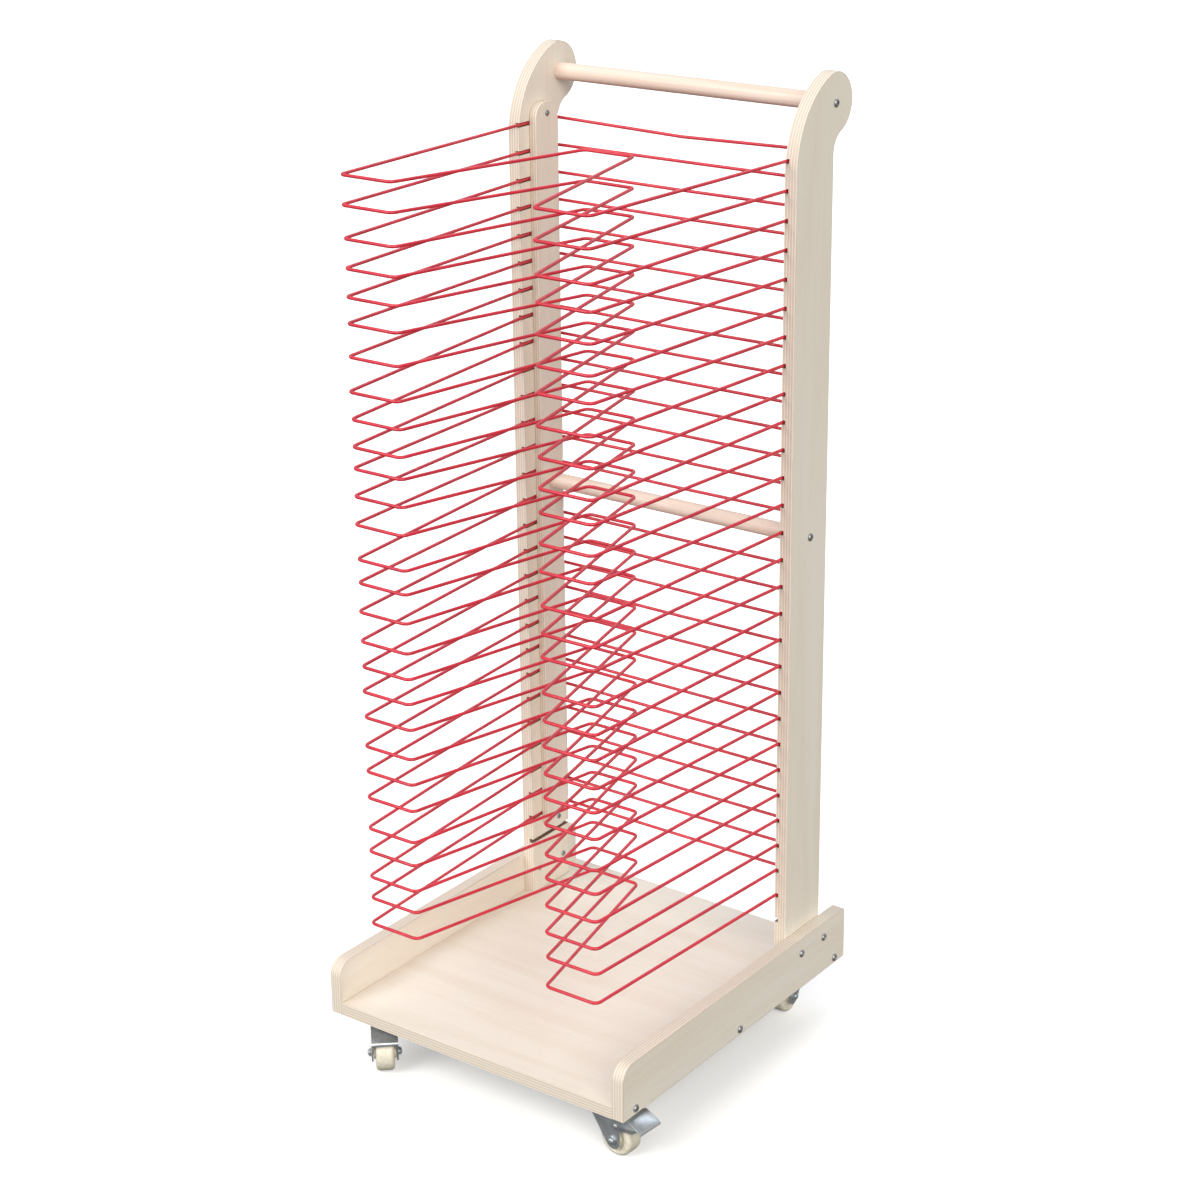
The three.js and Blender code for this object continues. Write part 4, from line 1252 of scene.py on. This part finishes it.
class RACK_OT_fasteners(bpy.types.Operator):
    """Set the bolts in the boards and the screws in the strips and caster plates"""
    bl_idname = "rack.fasteners"
    bl_label = "Bolts and Screws"

    def execute(self, context):
        sizes = context.scene.rack_fastener
        half_pitch = context.scene.rack_caster.screw_pitch / 2
        under = BOARD_LOW.z - context.scene.rack_caster.plate_thick
        tree = fastener_tree()
        bolts = []
        screws = []
        for label, side in SIDES.items():
            post_low, post_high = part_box("post_" + label)
            rail_low, rail_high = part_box("side_board_" + label)
            strip_low, strip_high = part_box("clamp_strip_" + label)
            outward = (side, 0, 0)
            post_out, post_in = (post_high.x, post_low.x) if side > 0 else (post_low.x, post_high.x)
            rail_out = rail_high.x if side > 0 else rail_low.x
            strip_in = strip_low.x if side > 0 else strip_high.x
            for spot in (HANDLE, CROSS_BAR):
                bolts.append(((post_out, spot.y, spot.z), outward, 1.0))
            inward = (-side, 0, 0)
            for set_back in (sizes.post_front, sizes.post_back):
                y = post_low.y + set_back
                z = rail_low.z + sizes.post_rise
                bolts.append(((rail_out, y, z), outward, 1.0))
                screws.append(((post_in, y, z), inward, 1.0))
            for set_back in (sizes.rail_front, sizes.rail_middle, sizes.rail_back):
                bolts.append(((rail_out, BOARD_LOW.y + set_back, rail_low.z + sizes.rail_rise), outward, 1.0))
            strip_y = (strip_low.y + strip_high.y) / 2
            for z in (SHELF_HEIGHTS[0] + sizes.strip_end, SHELF_HEIGHTS[-1] - sizes.strip_end):
                screws.append(((strip_in, strip_y, z), inward, 1.0))
        for label in CASTERS:
            pin = middle_of(f"caster_{label}_kingpin")
            for x in (-half_pitch, half_pitch):
                for y in (-half_pitch, half_pitch):
                    screws.append(((pin.x + x, pin.y + y, under), (0, 0, -1), sizes.plate_screw))
        fasten("frame_bolts", bolts, bolt_head(), tree)
        fasten("frame_screws", screws, screw_head(), tree)
        return {"FINISHED"}


# Stage

# Half the floor's side in metres, and the width of the camera's sensor in mm
FLOOR_REACH = 30
SENSOR = 36


class RACK_OT_stage(bpy.types.Operator):
    """Set the floor, the studio light and the camera"""
    bl_idname = "rack.stage"
    bl_label = "Floor, Light and Camera"

    def execute(self, context):
        stage = context.scene.rack_stage
        self.floor(context, stage)
        self.light(context, stage)
        self.camera(context, stage)
        context.scene.view_settings.view_transform = "Standard"
        context.scene.view_settings.look = "None"
        return {"FINISHED"}

    def floor(self, context, stage):
        """A wide pale floor under the casters."""
        bm = bmesh.new()
        bmesh.ops.create_grid(bm, x_segments=1, y_segments=1, size=FLOOR_REACH)
        mesh = bpy.data.meshes.new("studio_floor")
        bm.to_mesh(mesh)
        bm.free()
        material, tree, shader = blank("studio_floor", Roughness=0.9, Base_Color=(*stage.floor, 1),
                                       Emission_Color=(*stage.floor, 1), Emission_Strength=stage.glow)
        shader.inputs["Specular IOR Level"].default_value = 0.0
        mesh.materials.append(material)
        obj = bpy.data.objects.new("studio_floor", mesh)
        # The white floor doesn't throw its glare up at the rack
        obj.visible_diffuse = False
        obj.visible_glossy = False
        context.scene.collection.objects.link(obj)

    def light(self, context, stage):
        """Pale surround, and three soft lights: above the front left, at the front right, above the back."""
        world = bpy.data.worlds.new("studio")
        world.use_nodes = True
        tree = world.node_tree
        tree.nodes.clear()
        outward = add(tree, "ShaderNodeTexCoord").outputs["Generated"]
        height = add(tree, "ShaderNodeSeparateXYZ", inputs={0: outward}).outputs[2]
        height = add(tree, "ShaderNodeMapRange", inputs={"Value": height, "From Min": -1.0})
        # From straight down to straight up, with the horizon halfway
        greys = ((0.0, stage.below), (0.2, stage.below), (0.38, 0.8 * stage.horizon), (0.5, stage.horizon),
                 (1.0, stage.zenith))
        levels = add(tree, "ShaderNodeValToRGB", inputs={0: height},
                     stops=[(place, (grey,) * 3) for place, grey in greys])
        surround = add(tree, "ShaderNodeBackground", inputs={"Color": levels})
        # What shows behind the rack is as white as the floor
        backdrop = add(tree, "ShaderNodeBackground", inputs={"Color": (*stage.floor, 1)})
        seen = add(tree, "ShaderNodeLightPath").outputs["Is Camera Ray"]
        surround = add(tree, "ShaderNodeMixShader", inputs={0: seen, 1: surround, 2: backdrop})
        add(tree, "ShaderNodeOutputWorld", inputs={"Surface": surround})
        context.scene.world = world
        for name in ("key", "fill", "back"):
            lamp = bpy.data.lights.new(name, "SUN")
            lamp.energy = getattr(stage, name)
            lamp.color = getattr(stage, name + "_tint")
            lamp.angle = stage.spread
            obj = bpy.data.objects.new(name, lamp)
            ahead = Vector(getattr(stage, name + "_ahead"))
            obj.rotation_euler = ahead.to_track_quat("-Z", "Y").to_euler()
            context.scene.collection.objects.link(obj)

    def camera(self, context, stage):
        """The camera stands where the photograph was taken from."""
        camera = bpy.data.cameras.new("camera")
        camera.sensor_width = SENSOR
        camera.lens = stage.lens
        camera.shift_y = stage.lift
        camera.clip_end = 100
        level = math.cos(stage.tilt)
        ahead = Vector((-math.sin(stage.pan) * level, math.cos(stage.pan) * level, -math.sin(stage.tilt)))
        right = Vector((math.cos(stage.pan), math.sin(stage.pan), 0))
        down = ahead.cross(right)
        rolled = math.cos(stage.roll) * right + math.sin(stage.roll) * down
        up = math.sin(stage.roll) * right - math.cos(stage.roll) * down
        turn = Matrix((rolled, up, -ahead)).transposed().to_4x4()
        obj = bpy.data.objects.new("camera", camera)
        obj.matrix_world = Matrix.Translation(stage.place) @ turn
        context.scene.collection.objects.link(obj)
        context.scene.camera = obj


OPERATORS = (RACK_OT_boards, RACK_OT_dowels, RACK_OT_shelves, RACK_OT_casters, RACK_OT_fasteners,
             RACK_OT_stage)


class RACK_PT_panel(bpy.types.Panel):
    """Sidebar list of the rack's sizes, colours and pieces"""
    bl_idname = "RACK_PT_panel"
    bl_label = "Art Drying Rack"
    bl_space_type = "VIEW_3D"
    bl_region_type = "UI"
    bl_category = "Drying Rack"

    def draw(self, context):
        for operator in OPERATORS:
            self.layout.operator(operator.bl_idname)
        for group, kind in GROUPS.items():
            box = self.layout.box()
            box.label(text=kind.__doc__)
            for name in kind.__annotations__:
                box.prop(getattr(context.scene, group), name)


def register():
    for kind in (*GROUPS.values(), *OPERATORS, RACK_PT_panel):
        bpy.utils.register_class(kind)
    for group, kind in GROUPS.items():
        setattr(bpy.types.Scene, group, PointerProperty(type=kind))


def unregister():
    for group in GROUPS:
        delattr(bpy.types.Scene, group)
    for kind in reversed((*GROUPS.values(), *OPERATORS, RACK_PT_panel)):
        bpy.utils.unregister_class(kind)


def main():
    register()
    bpy.ops.rack.boards()
    bpy.ops.rack.dowels()
    bpy.ops.rack.shelves()
    bpy.ops.rack.casters()
    bpy.ops.rack.fasteners()
    bpy.ops.rack.stage()


if __name__ == "__main__":
    main()
